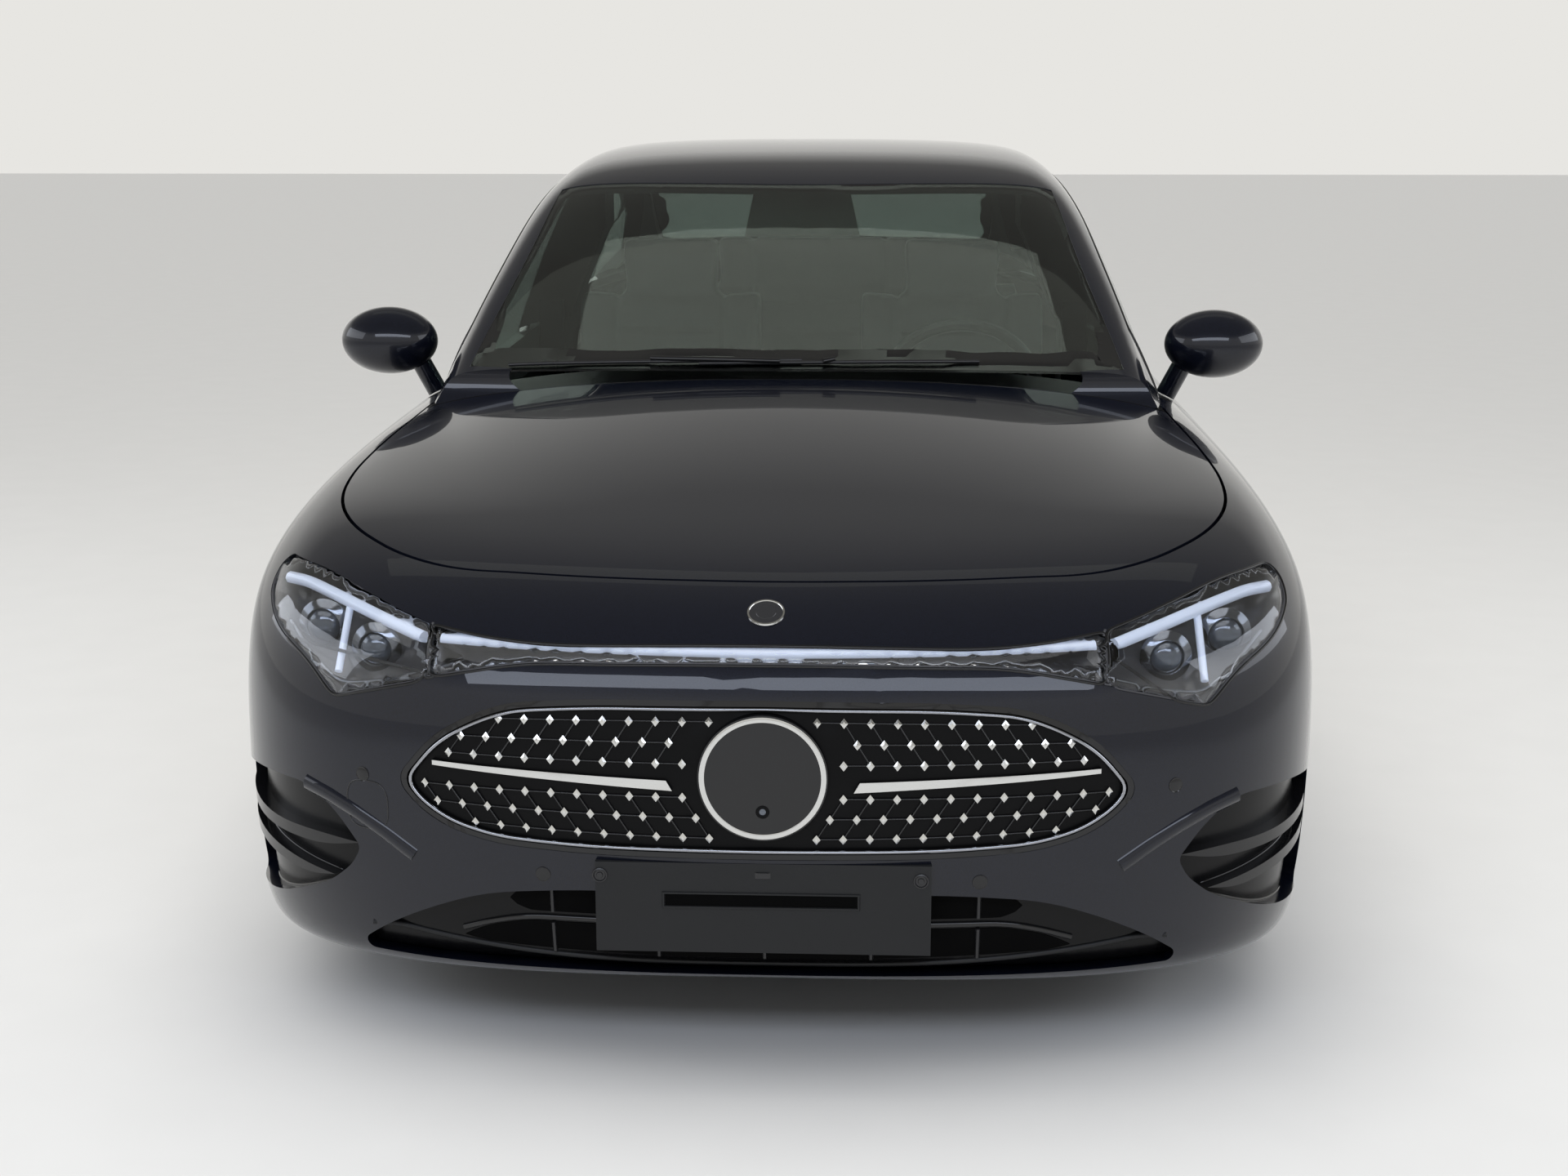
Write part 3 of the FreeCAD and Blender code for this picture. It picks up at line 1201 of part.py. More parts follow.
# Wheel liners: an arched shell over each wheel, those at the rear closed towards the boot

LINER_OUTER = "(Sizes.tyre_radius + Sizes.arch_clearance - Sizes.seat_gap)"
LINER_INNER = less(LINER_OUTER, PLATE)
LINER_X = less("Sizes.overall_width / 2", "Sizes.skin_depth")
LINER_ARC = "2 * acos((Sizes.hub_radius + %s) / %s)" % (PLATE, LINER_OUTER)


def liner(name, y, section):
    """One liner: its section swept over the top of the wheel, down to just above the axle on both sides."""
    body = doc.addObject("PartDesign::Body", name)
    sketch = profile(body, FRONT_ON, name + "_section", section)
    arch = body.newObject("PartDesign::Revolution", name + "_arch")
    arch.Profile = sketch
    arch.ReferenceAxis = (sketch, ["H_Axis"])
    arch.Midplane = True
    arch.setExpression("Angle", LINER_ARC)
    body.Tip = arch
    return placed(body, "0", y, WHEEL_Z)


front_liner = liner("front_liner", FRONT_AXLE, [
    (BOOT_X, LINER_INNER), (LINER_X, LINER_INNER), (LINER_X, LINER_OUTER), (BOOT_X, LINER_OUTER),
])  # fmt: skip
INNER_WALL_FOOT = "(Sizes.hub_radius + %s)" % PLATE
rear_liner = liner("rear_liner", REAR_AXLE, [
    (BOOT_X, INNER_WALL_FOOT), (plus(BOOT_X, PLATE), INNER_WALL_FOOT), (plus(BOOT_X, PLATE), LINER_INNER),
    (LINER_X, LINER_INNER), (LINER_X, LINER_OUTER), (BOOT_X, LINER_OUTER),
])  # fmt: skip
wheel_liners = doc.addObject("Part::Compound", "liner_set")
wheel_liners.Links = [front_liner, rear_liner, other_side("front_liner_right", front_liner),
                      other_side("rear_liner_right", rear_liner)]  # fmt: skip
node(wheel_liners, "wheel_liners")

# The closed battery pack under the floor and the drive unit between the rear wheels

BATTERY_X = less(FLOOR_X, "2 * " + PLATE)
node(block("battery", ("-" + BATTERY_X, BATTERY_X), (plus(FIREWALL_Y, PLATE), less(HEEL_Y, PLATE)),
           ("Sizes.ground_clearance", less(FLOOR_Z, "Sizes.seat_gap"))), "battery_pack")  # fmt: skip
DRIVE_X = across(0.275)
node(block("drive_unit", ("-" + DRIVE_X, DRIVE_X), (less(REAR_AXLE, across(0.15)), plus(REAR_AXLE, across(0.27))),
           (up(0.15), less(BOOT_Z, "Sizes.seat_gap"))), "rear_drive_unit")  # fmt: skip

# Hub carriers with their brake calipers: the caliper straddles the disc behind the axle and hangs on an arm

DISC_INNER = less(WHEEL_X, "Sizes.hub_inset", "-Sizes.seat_gap")
DISC_OUTER = plus(DISC_INNER, "Sizes.disc_thickness")
SLOT_INNER = less(DISC_INNER, "Sizes.brake_clearance")
SLOT_OUTER = plus(DISC_OUTER, "Sizes.brake_clearance")
CALIPER_INNER = less(SLOT_INNER, "Sizes.caliper_leg")
CALIPER_OUTER = plus(SLOT_OUTER, "Sizes.caliper_leg")
SLOT_RADIUS = "(Sizes.brake_radius + Sizes.brake_clearance)"


def carrier_parts(name, axle):
    """The round hub carrier, the caliper over the disc and the arm between them, on the left side."""
    hub = crosswise_bar(name + "_hub", "Sizes.hub_radius", (CARRIER_X, HUB_X), axle, WHEEL_Z)
    outside = crosswise_bar(name + "_caliper_round", plus(SLOT_RADIUS, "Sizes.caliper_bridge"),
                            (CALIPER_INNER, CALIPER_OUTER), axle, WHEEL_Z)  # fmt: skip
    body = block(name + "_caliper_block", (CALIPER_INNER, CALIPER_OUTER),
                 (plus(axle, "Sizes.caliper_reach"), plus(axle, "2 * " + SLOT_RADIUS)),
                 (less(WHEEL_Z, "Sizes.caliper_length / 2"), plus(WHEEL_Z, "Sizes.caliper_length / 2")))  # fmt: skip
    slot = crosswise_bar(name + "_caliper_slot", SLOT_RADIUS, (SLOT_INNER, SLOT_OUTER), axle, WHEEL_Z)
    caliper = cut_from(name + "_caliper", shared(name + "_caliper_form", body, outside), slot)
    arm = block(name + "_caliper_arm", (CALIPER_INNER, SLOT_INNER),
                (axle, plus(axle, "Sizes.caliper_reach", "Sizes.caliper_leg")),
                (less(WHEEL_Z, "Sizes.arm_width / 2"), plus(WHEEL_Z, "Sizes.arm_width / 2")))  # fmt: skip
    return [hub, caliper, arm]


stub = upright_bar("ball_stub", "Sizes.ball_radius", KINGPIN_X, FRONT_AXLE, (BALL_Z, WHEEL_Z))
knuckle = node(joined("left_knuckle", carrier_parts("front", FRONT_AXLE) + [stub]), "knuckle_left")
node(other_side("right_knuckle", knuckle), "knuckle_right")

# Front subframe: a cross member, a tower up to each rail, and a lower arm out to each ball joint

ARM_TOP = less(BALL_Z, "Sizes.seat_gap")
ARM_FOOT = less(ARM_TOP, "Sizes.arm_width / 3")
ARM_START = across(0.45)
subframe = block("front_cross_member", ("-" + across(0.50), across(0.50)),
                 (less(FRONT_AXLE, "Sizes.arm_width"), plus(FRONT_AXLE, "Sizes.arm_width")), (up(0.13), up(0.20)))
front_arm = block("front_arm", (ARM_START, KINGPIN_X),
                  (less(FRONT_AXLE, "Sizes.arm_width / 2"), plus(FRONT_AXLE, "Sizes.arm_width / 2")),
                  (ARM_FOOT, ARM_TOP))  # fmt: skip
arm_tip = upright_bar("front_arm_tip", "Sizes.ball_radius", KINGPIN_X, FRONT_AXLE, (ARM_FOOT, ARM_TOP))
tower = block("front_tower", (ARM_START, across(0.50)),
              (less(FRONT_AXLE, "Sizes.arm_width"), plus(FRONT_AXLE, "Sizes.arm_width")), (up(0.15), RAIL_FOOT))
front_left_side = joined("front_axle_side", [front_arm, arm_tip, tower])
node(joined("front_subframe", [subframe, front_left_side, other_side("front_axle_side_right", front_left_side)]),
     "front_axle")  # fmt: skip

# Rear subframe: a cross member ahead of the drive unit, links and arms to the carriers, and the half shafts

LINK_X = (across(0.45), across(0.52))
rear_member = block("rear_cross_member", ("-" + across(0.55), across(0.55)),
                    (less(REAR_AXLE, across(0.36)), less(REAR_AXLE, across(0.22))), (up(0.16), up(0.22)))
rear_link = block("rear_link", LINK_X, (less(REAR_AXLE, across(0.36)), REAR_AXLE), (up(0.18), up(0.22)))
rear_arm = block("rear_arm", (LINK_X[0], less(HUB_X, "Sizes.hub_length / 2")),
                 (less(REAR_AXLE, "Sizes.arm_width"), REAR_AXLE), (up(0.19), up(0.22)))  # fmt: skip
half_shaft = crosswise_bar("half_shaft", "Sizes.shaft_radius", (plus(DRIVE_X, "Sizes.seat_gap"), HUB_X), REAR_AXLE, WHEEL_Z)
rear_left_side = joined("rear_axle_side", carrier_parts("rear", REAR_AXLE) + [rear_link, rear_arm, half_shaft])
node(joined("rear_subframe", [rear_member, rear_left_side, other_side("rear_axle_side_right", rear_left_side)]),
     "rear_axle")  # fmt: skip

# The open front trunk tub under the bonnet

TUB_X = across(0.46)
TUB_Y = (on_nose(0.50), on_nose(0.90))
TUB_FOOT = plus(RAIL_TOP, "Sizes.seat_gap")
tub = doc.addObject("PartDesign::Body", "front_tub_body")
tub_sketch = profile(tub, FROM_ABOVE, "tub_outline", [
    ("-" + TUB_X, TUB_Y[0]), (TUB_X, TUB_Y[0]), (TUB_X, TUB_Y[1]), ("-" + TUB_X, TUB_Y[1]),
], offset=TUB_FOOT)  # fmt: skip
pad(tub, tub_sketch, less(up(0.54), TUB_FOOT), "One side")
inner_x = less(TUB_X, PLATE)
tub_inside = profile(tub, FROM_ABOVE, "tub_inside", [
    ("-" + inner_x, plus(TUB_Y[0], PLATE)), (inner_x, plus(TUB_Y[0], PLATE)), (inner_x, less(TUB_Y[1], PLATE)),
    ("-" + inner_x, less(TUB_Y[1], PLATE)),
], offset=up(0.54))  # fmt: skip
pocket = tub.newObject("PartDesign::Pocket", "tub_pocket")
pocket.Profile = tub_inside
pocket.setExpression("Length", less(up(0.54), TUB_FOOT, PLATE))
tub.Tip = pocket
node(tub, "front_trunk_tub")

# Dashboard with its centre console and the shroud of the steering column

dash = doc.addObject("PartDesign::Body", "dash_body")
dash_sketch = profile(dash, ACROSS_CAR, "dash_section", [
    (along(0.170), up(0.44)), (along(0.24), up(0.44)), (along(0.290), up(0.53)), (along(0.290), up(0.59)),
    (along(0.280), up(0.622)), (along(0.262), up(0.636)), (along(0.22), up(0.626)), (along(0.170), up(0.600)),
])  # fmt: skip
pad(dash, dash_sketch, "2 * " + FLOOR_X)
console_sketch = profile(dash, ACROSS_CAR, "console_section", [
    (along(0.22), SEAT_Z), (along(0.55), SEAT_Z), (along(0.55), up(0.452)), (along(0.535), up(0.462)),
    (along(0.44), up(0.462)), (along(0.42), up(0.435)), (along(0.30), up(0.445)), (along(0.275), up(0.50)),
    (along(0.22), up(0.50)),
])  # fmt: skip
pad(dash, console_sketch, across(0.26))
WHEEL_CENTRE = (across(0.40), along(0.345), up(0.605))
SHROUD_START = "(Sizes.steering_grip + Sizes.seat_gap)"
shroud = doc.addObject("Part::Cylinder", "column_shroud")
shroud.setExpression("Radius", "2.5 * Sizes.steering_grip")
shroud.setExpression("Height", less("Sizes.column_length", SHROUD_START))
shroud.Placement.Rotation = FreeCAD.Rotation(X_AXIS, 90 + size.column_tilt)
placed(shroud, WHEEL_CENTRE[0], less(WHEEL_CENTRE[1], "cos(Sizes.column_tilt) * " + SHROUD_START),
       less(WHEEL_CENTRE[2], "sin(Sizes.column_tilt) * " + SHROUD_START))  # fmt: skip
node(joined("dash_with_shroud", [dash, shroud]), "dashboard")

# Seats: cushion, leaning backrest and headrest of plain closed form


def seat(name, y, half_width_text, back_height):
    """A seat from the side, each part swept across the car: y is the foot of its backrest."""
    body = doc.addObject("PartDesign::Body", name)
    thick = "Sizes.seat_thick"
    top = plus(FLOOR_Z, back_height)
    lean_y = plus(y, "Sizes.seat_lean")
    cushion = profile(body, ACROSS_CAR, name + "_cushion", [
        (y, SEAT_Z), (less(y, "Sizes.seat_length"), SEAT_Z), (less(y, "Sizes.seat_length"), plus(FLOOR_Z, "Sizes.seat_height")),
        (y, plus(FLOOR_Z, "Sizes.seat_height", "-Sizes.panel_thickness")),
    ])  # fmt: skip
    pad(body, cushion, "2 * " + half_width_text)
    back = profile(body, ACROSS_CAR, name + "_back", [
        (less(y, thick + " / 2"), plus(FLOOR_Z, "Sizes.seat_height / 2")),
        (plus(y, thick + " / 2"), plus(FLOOR_Z, "Sizes.seat_height / 2")),
        (plus(lean_y, thick + " / 2"), less(top, "Sizes.seat_rounding")),
        (plus(lean_y, thick + " / 2", "-Sizes.seat_rounding"), top),
        (less(lean_y, thick + " / 2", "-Sizes.seat_rounding"), top),
        (less(lean_y, thick + " / 2"), less(top, "Sizes.seat_rounding")),
    ])  # fmt: skip
    pad(body, back, "2 * " + half_width_text)
    crown = plus(top, "Sizes.head_height")
    head = profile(body, ACROSS_CAR, name + "_head", [
        (less(lean_y, thick + " / 3"), less(top, PLATE)), (plus(lean_y, thick + " / 2"), less(top, PLATE)),
        (plus(lean_y, thick + " / 2"), less(crown, "Sizes.seat_rounding")),
        (plus(lean_y, thick + " / 3"), crown), (less(lean_y, thick + " / 6"), crown),
        (less(lean_y, thick + " / 3"), less(crown, "Sizes.seat_rounding")),
    ])  # fmt: skip
    pad(body, head, half_width_text)
    return body


driver_seat = placed(seat("driver_seat", along(0.505), "Sizes.seat_width / 2", "Sizes.seat_back"), across(0.40))
front_seats = doc.addObject("Part::Compound", "seat_pair")
front_seats.Links = [driver_seat, other_side("passenger_seat", driver_seat)]
node(front_seats, "front_seats")
bench = seat("bench_seat", less(HEEL_Y, "Sizes.seat_thick"), across(0.66), "Sizes.bench_back")
node(bench, "rear_bench")

# Road wheels: a dished rim with spokes, a hub and a brake disc, and a separate tyre on each

HALF_RIM = "Sizes.rim_width / 2"
RIM = "Sizes.rim_radius"
LIP = "Sizes.rim_lip"
FLANGE = "Sizes.rim_flange"
DROP = "Sizes.rim_drop"


def in_from(edge, *lengths):
    """A place this far in from the outer or inner edge of the rim."""
    return less(edge, *lengths) if edge == HALF_RIM else plus("-" + HALF_RIM, *lengths)


def rim_half(edge):
    """The outer and the inner contour of the rim barrel from one edge to the drop centre."""
    outer = [(in_from(edge), RIM), (in_from(edge, LIP), RIM), (in_from(edge, LIP, LIP), less(RIM, FLANGE)),
             (in_from(edge, "4 * " + LIP), less(RIM, FLANGE)), (in_from(edge, "5 * " + LIP), less(RIM, DROP))]
    inner = [(place, less(radius, "Sizes.rim_wall")) for place, radius in outer]
    return outer, [inner[0]] + inner[2:]


def spoke_outline():
    """A spoke seen along the axle: it splits towards the rim into a broad foot."""
    reach = less(RIM, DROP, "Sizes.rim_wall / 2")
    narrow = "Sizes.spoke_width / 2"
    return [("-" + narrow, "Sizes.wheel_hub_radius / 2"), (narrow, "Sizes.wheel_hub_radius / 2"),
            ("0.75 * Sizes.spoke_width", less(reach, "Sizes.spoke_width")), ("1.10 * Sizes.spoke_width", reach),
            ("-1.10 * Sizes.spoke_width", reach), ("-0.75 * Sizes.spoke_width", less(reach, "Sizes.spoke_width"))]


def wheel(label, x, y, side):
    body = doc.addObject("PartDesign::Body", "wheel_body_" + label)
    outer_a, inner_a = rim_half("-" + HALF_RIM)
    outer_b, inner_b = rim_half(HALF_RIM)
    barrel = profile(body, FROM_ABOVE, "rim_" + label, outer_a + outer_b[::-1] + inner_b + inner_a[::-1])
    turned(body, barrel)
    spoke = profile(body, ACROSS_CAR, "spoke_" + label, spoke_outline(), offset=less(HALF_RIM, "Sizes.spoke_recess"))
    spoke_pad = body.newObject("PartDesign::Pad", "spoke_pad_" + label)
    spoke_pad.Profile = spoke
    spoke_pad.Reversed = True
    spoke_pad.setExpression("Length", "Sizes.spoke_depth")
    body.Tip = spoke_pad
    ring = body.newObject("PartDesign::PolarPattern", "spokes_" + label)
    ring.Originals = [spoke_pad]
    ring.Axis = (barrel, ["H_Axis"])
    ring.Angle = 360
    ring.setExpression("Occurrences", "Sizes.spoke_count")
    body.Tip = ring
    hub_face = less(HALF_RIM, "Sizes.spoke_recess", "-Sizes.rim_wall / 2")
    hub = profile(body, FROM_ABOVE, "hub_" + label, [
        (less(HUB_X, "-Sizes.seat_gap", WHEEL_X), "0"), (less(HUB_X, "-Sizes.seat_gap", WHEEL_X), "Sizes.brake_radius"),
        (less(DISC_OUTER, WHEEL_X), "Sizes.brake_radius"), (less(DISC_OUTER, WHEEL_X), "Sizes.wheel_hub_radius"),
        (less(hub_face, "Sizes.rim_wall"), "Sizes.wheel_hub_radius"), (hub_face, less("Sizes.wheel_hub_radius", "Sizes.rim_wall")),
        (hub_face, "0"),
    ])  # fmt: skip
    turned(body, hub)
    if side == RIGHT:
        body.Placement.Rotation = FreeCAD.Rotation(Z_AXIS, 180)
    node(placed(body, x, y, WHEEL_Z), "wheel_" + label)
    tyre = doc.addObject("PartDesign::Body", "tyre_body_" + label)
    bead = "0.43 * Sizes.tyre_width"
    bulge = "Sizes.tyre_width / 2"
    shoulder_x = "0.40 * Sizes.tyre_width"
    waist = "(0.45 * Sizes.tyre_radius + 0.55 * Sizes.rim_radius)"
    shoulder = "(0.86 * Sizes.tyre_radius + 0.14 * Sizes.rim_radius)"
    flank = "0.475 * Sizes.tyre_width"
    half = [(bead, RIM), (bulge, waist), (flank, shoulder), (shoulder_x, "Sizes.tyre_radius")]
    section = profile(tyre, FROM_ABOVE, "tyre_section_" + label,
                      [("-" + place, radius) for place, radius in half] + half[::-1])  # fmt: skip
    turned(tyre, section)
    node(placed(tyre, x, y, WHEEL_Z), "tyre_" + label)


wheel("front_left", WHEEL_X, FRONT_AXLE, LEFT)
wheel("front_right", "-" + WHEEL_X, FRONT_AXLE, RIGHT)
wheel("rear_left", WHEEL_X, REAR_AXLE, LEFT)
wheel("rear_right", "-" + WHEEL_X, REAR_AXLE, RIGHT)

# Steering wheel: a grip ring, a boss and three spokes about the axis of its column

GRIP = "Sizes.steering_grip"
RING = "Sizes.steering_radius"
helm = doc.addObject("PartDesign::Body", "steering_wheel_body")
GRIP_SIDES = 10
ring_corners = []
for k in range(GRIP_SIDES):
    angle = 2 * math.pi * (k + 0.5) / GRIP_SIDES
    ring_corners.append(("%s + %.6f * %s" % (RING, math.cos(angle), GRIP), "%.6f * %s" % (math.sin(angle), GRIP)))
turned(helm, profile(helm, FRONT_ON, "grip_section", ring_corners), "V_Axis")
boss_section = [("0", "-" + GRIP), ("3 * " + GRIP, "-" + GRIP), ("4.5 * " + GRIP, "0"), ("4 * " + GRIP, GRIP), ("0", GRIP)]
SPOKE_HALF = "1.1 * " + GRIP
side_spokes = profile(helm, FROM_ABOVE, "side_spokes", [
    ("-" + RING, "-" + SPOKE_HALF), (RING, "-" + SPOKE_HALF), (RING, SPOKE_HALF), ("-" + RING, SPOKE_HALF),
])  # fmt: skip
pad(helm, side_spokes, "0.8 * " + GRIP)
turned(helm, profile(helm, FRONT_ON, "boss_section", boss_section), "V_Axis")
lower_spoke = profile(helm, FROM_ABOVE, "lower_spoke", [
    ("-" + SPOKE_HALF, "0"), (SPOKE_HALF, "0"), (SPOKE_HALF, RING), ("-" + SPOKE_HALF, RING),
])  # fmt: skip
pad(helm, lower_spoke, "0.8 * " + GRIP)
helm.Placement.Rotation = FreeCAD.Rotation(X_AXIS, size.column_tilt - 90)
node(placed(helm, *WHEEL_CENTRE), "steering_wheel")

# Every object is checked before anything is written

doc.recompute()
for item in doc.Objects:
    if "Invalid" in item.State or "Error" in item.State:
        raise RuntimeError(item.Label + " did not compute")
for item in made:
    if item.Shape.isNull() or not item.Shape.isValid():
        raise RuntimeError(item.Label + " has no sound shape")
os.makedirs("parts", exist_ok=True)
for item in made:
    item.Shape.exportStep(os.path.join("parts", item.Label + ".step"))
    print(item.Label, len(item.Shape.Solids))
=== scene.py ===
import json
import math

import bmesh
import bpy
import numpy as np
from mathutils import Matrix, Vector, kdtree
from mathutils.bvhtree import BVHTree

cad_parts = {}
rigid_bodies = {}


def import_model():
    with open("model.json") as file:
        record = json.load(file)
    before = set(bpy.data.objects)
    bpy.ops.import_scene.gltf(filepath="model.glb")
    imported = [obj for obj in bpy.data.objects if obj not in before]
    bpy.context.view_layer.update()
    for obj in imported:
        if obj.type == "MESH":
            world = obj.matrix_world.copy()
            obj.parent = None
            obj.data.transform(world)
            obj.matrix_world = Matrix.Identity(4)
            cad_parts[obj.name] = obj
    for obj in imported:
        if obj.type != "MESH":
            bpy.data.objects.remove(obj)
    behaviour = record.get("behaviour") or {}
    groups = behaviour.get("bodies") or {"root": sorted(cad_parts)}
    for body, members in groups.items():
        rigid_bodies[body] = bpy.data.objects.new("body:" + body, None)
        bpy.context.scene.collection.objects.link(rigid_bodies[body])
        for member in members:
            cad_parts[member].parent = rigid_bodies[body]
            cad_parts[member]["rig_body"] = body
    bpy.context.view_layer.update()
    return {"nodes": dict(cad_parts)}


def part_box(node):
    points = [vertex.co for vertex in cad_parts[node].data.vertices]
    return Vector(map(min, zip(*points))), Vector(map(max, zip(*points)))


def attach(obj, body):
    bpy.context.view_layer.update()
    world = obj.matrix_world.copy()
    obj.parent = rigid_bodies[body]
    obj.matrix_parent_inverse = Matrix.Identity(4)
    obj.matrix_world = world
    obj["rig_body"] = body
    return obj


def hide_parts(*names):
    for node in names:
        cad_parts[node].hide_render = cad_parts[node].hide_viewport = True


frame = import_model()
nodes = frame["nodes"]

# Camera
# It stands a little to the right of the middle of the car, at eye height, and looks slightly down on the bonnet.
scene = bpy.context.scene
scene.view_settings.view_transform = "Standard"
camera_data = bpy.data.cameras.new("camera")
camera_data.lens = 45.94
camera_data.sensor_width = 36.0
camera = bpy.data.objects.new("camera", camera_data)
camera.location = (0.157, -5.2615, 1.501)
camera.rotation_euler = (math.radians(90 - 13), 0, math.radians(2.45))
scene.collection.objects.link(camera)
scene.camera = camera

# Studio
# A pale floor and pale walls under a darker ceiling, lit by one wide soft light and panels overhead and at the sides.
FLOOR_COLOUR = (0.70, 0.69, 0.67, 1)
WALL_COLOUR = (0.80, 0.79, 0.76, 1)
CEILING_COLOUR = (0.20, 0.195, 0.18, 1)
FLOOR_REACH = 60.0
WALL_TOP, CEILING_FOOT = 0.31, 0.50


def fill(tree, node, inputs):
    """Sets a node's inputs to values, or joins them to other nodes' outputs."""
    for place, value in inputs.items():
        if isinstance(value, bpy.types.NodeSocket):
            tree.links.new(value, node.inputs[place])
        else:
            node.inputs[place].default_value = value


def add_node(tree, kind, inputs=(), **settings):
    """A new node of a kind, with its settings and inputs."""
    node = tree.nodes.new(kind)
    for setting, value in settings.items():
        setattr(node, setting, value)
    fill(tree, node, dict(inputs))
    return node


def two_shades(tree, amount, low, high, ends=(0.0, 1.0)):
    """A colour that goes from one shade to the other as the amount rises from end to end."""
    ramp = add_node(tree, "ShaderNodeValToRGB", {"Fac": amount})
    for element, position, shade in zip(ramp.color_ramp.elements, ends, (low, high)):
        element.position = position
        element.color = (*shade[:3], 1)
    return ramp.outputs["Color"]


def clouds(tree, scale, **more):
    """Soft patches on the piece's own coordinates, from 0 to 1."""
    coords = add_node(tree, "ShaderNodeTexCoord").outputs["Object"]
    return add_node(tree, "ShaderNodeTexNoise", {"Vector": coords, "Scale": scale, **more}).outputs["Fac"]


def studio_world():
    """The walls show to the camera, in gloss and through glass; everything else gets an even light."""
    world = bpy.data.worlds.new("studio")
    scene.world = world
    world.use_nodes = True
    tree = world.node_tree
    tree.nodes.clear()
    height = add_node(tree, "ShaderNodeSeparateXYZ", {0: add_node(tree, "ShaderNodeTexCoord").outputs["Generated"]})
    walls = two_shades(tree, height.outputs["Z"], WALL_COLOUR, CEILING_COLOUR, (WALL_TOP, CEILING_FOOT))
    shown = add_node(tree, "ShaderNodeBackground", {"Color": walls})
    light = add_node(tree, "ShaderNodeBackground", {"Color": (0.94, 0.97, 1.0, 1), "Strength": 0.42})
    paths = add_node(tree, "ShaderNodeLightPath").outputs
    seen = paths["Is Camera Ray"]
    for ray in ("Is Glossy Ray", "Is Transmission Ray"):
        seen = add_node(tree, "ShaderNodeMath", {0: seen, 1: paths[ray]}, operation="MAXIMUM").outputs[0]
    mix = add_node(tree, "ShaderNodeMixShader", {"Fac": seen, 1: light.outputs[0], 2: shown.outputs[0]})
    add_node(tree, "ShaderNodeOutputWorld", {"Surface": mix.outputs[0]})


studio_world()


def studio_light(name, kind, energy, colour, place, turn, mirrored, **settings):
    data = bpy.data.lights.new(name, kind)
    data.energy = energy
    data.color = colour
    for setting, value in settings.items():
        setattr(data, setting, value)
    lamp = bpy.data.objects.new(name, data)
    lamp.location = place
    lamp.rotation_euler = turn
    lamp.visible_glossy = mirrored
    scene.collection.objects.link(lamp)


for name, place, target, width, height, power, colour, mirrored in (
        ("overhead_panel", (0, -0.6, 4.4), (0, -0.4, 0.6), 2.2, 4.0, 55, (1.0, 0.97, 0.90), False),
        ("middle_panel", (0, 0.65, 4.2), (0, 0.65, 0), 5.2, 0.9, 2.2, (0.97, 1.0, 0.88), True),
        ("front_panel", (0, -5.9, 3.1), (0, -2.3, 0.7), 7.0, 0.9, 95, (0.78, 0.85, 1.0), True),
        ("left_panel", (4.8, -1.6, 2.3), (0, -0.6, 0.6), 4.5, 1.5, 40, (0.86, 0.91, 1.0), True),
        ("right_panel", (-4.8, -1.6, 2.3), (0, -0.6, 0.6), 4.5, 1.5, 40, (0.86, 0.91, 1.0), True)):
    aim = (Vector(target) - Vector(place)).to_track_quat("-Z", "Y").to_euler()
    studio_light(name, "AREA", power, colour, place, aim, mirrored, shape="RECTANGLE", size=width, size_y=height)
studio_light("wide_light", "SUN", 1.55, (1.0, 0.985, 0.96), (0, 0, 0), (math.radians(12), math.radians(-8), 0), False,
             angle=math.radians(70))


def new_finish(name, inputs=()):
    """A node material and its main shader."""
    stuff = bpy.data.materials.new(name)
    stuff.use_nodes = True
    tree = stuff.node_tree
    shader = tree.nodes["Principled BSDF"]
    fill(tree, shader, dict(inputs))
    return stuff, tree, shader


def studio_floor():
    mesh = bpy.data.meshes.new("floor")
    corners = [(FLOOR_REACH * x, FLOOR_REACH * y, 0) for x, y in ((-1, -1), (1, -1), (1, 1), (-1, 1))]
    mesh.from_pydata(corners, [], [(0, 1, 2, 3)])
    floor = bpy.data.objects.new("floor", mesh)
    scene.collection.objects.link(floor)
    stuff, tree, shader = new_finish("floor_paint", {"Roughness": 0.8})
    darker = tuple(0.96 * c for c in FLOOR_COLOUR[:3]) + (1,)
    tint = add_node(tree, "ShaderNodeMix", {"Factor": clouds(tree, 6.0), "A": FLOOR_COLOUR, "B": darker},
                    data_type="RGBA")
    fill(tree, shader, {"Base Color": tint.outputs["Result"]})
    mesh.materials.append(stuff)


studio_floor()

# Painted body panels
# Pressed steel and aluminium panels, and moulded bumper skins, all in one deep blue-black metallic paint under a
# clear coat. Each panel keeps its CAD shape, with its edges drawn in a little so that the shut lines show.
PAINTED = ["bonnet", "nose_panel", "front_bumper", "fender_left", "fender_right", "door_front_left",
           "door_front_right", "door_rear_left", "door_rear_right", "side_frame_left", "side_frame_right",
           "roof_panel", "boot_lid", "rear_deck", "rear_bumper", "mirror_left", "mirror_right"]
PANEL_GAP = 0.0014
# A sheet ends at a crease sharper than this, and is a panel's face when it is larger than this
CREASE = math.radians(27)
SHEET_AREA = 0.004
# Normals are fitted over this many points near each, one taken from each cell of this size
NEIGHBOURS = 30
CELL = 0.012
# A point counts when its normal agrees by this much and it stands off by less than this slope; a fit takes this many
SAME_SIDE = 0.88
MOST_SLOPE = 0.35
FEWEST_POINTS = 10
# A fitted normal that agrees with the first guess by less than this is dropped
LEAST_AGREEMENT = 0.8
DAMPING = np.diag([1e-5, 1e-5, 1e-3, 1e-3, 1e-3])
# Between the side windows: from and to, along the car and up
PILLAR_ALONG, PILLAR_UP = (0.10, 0.38), (0.93, 1.37)


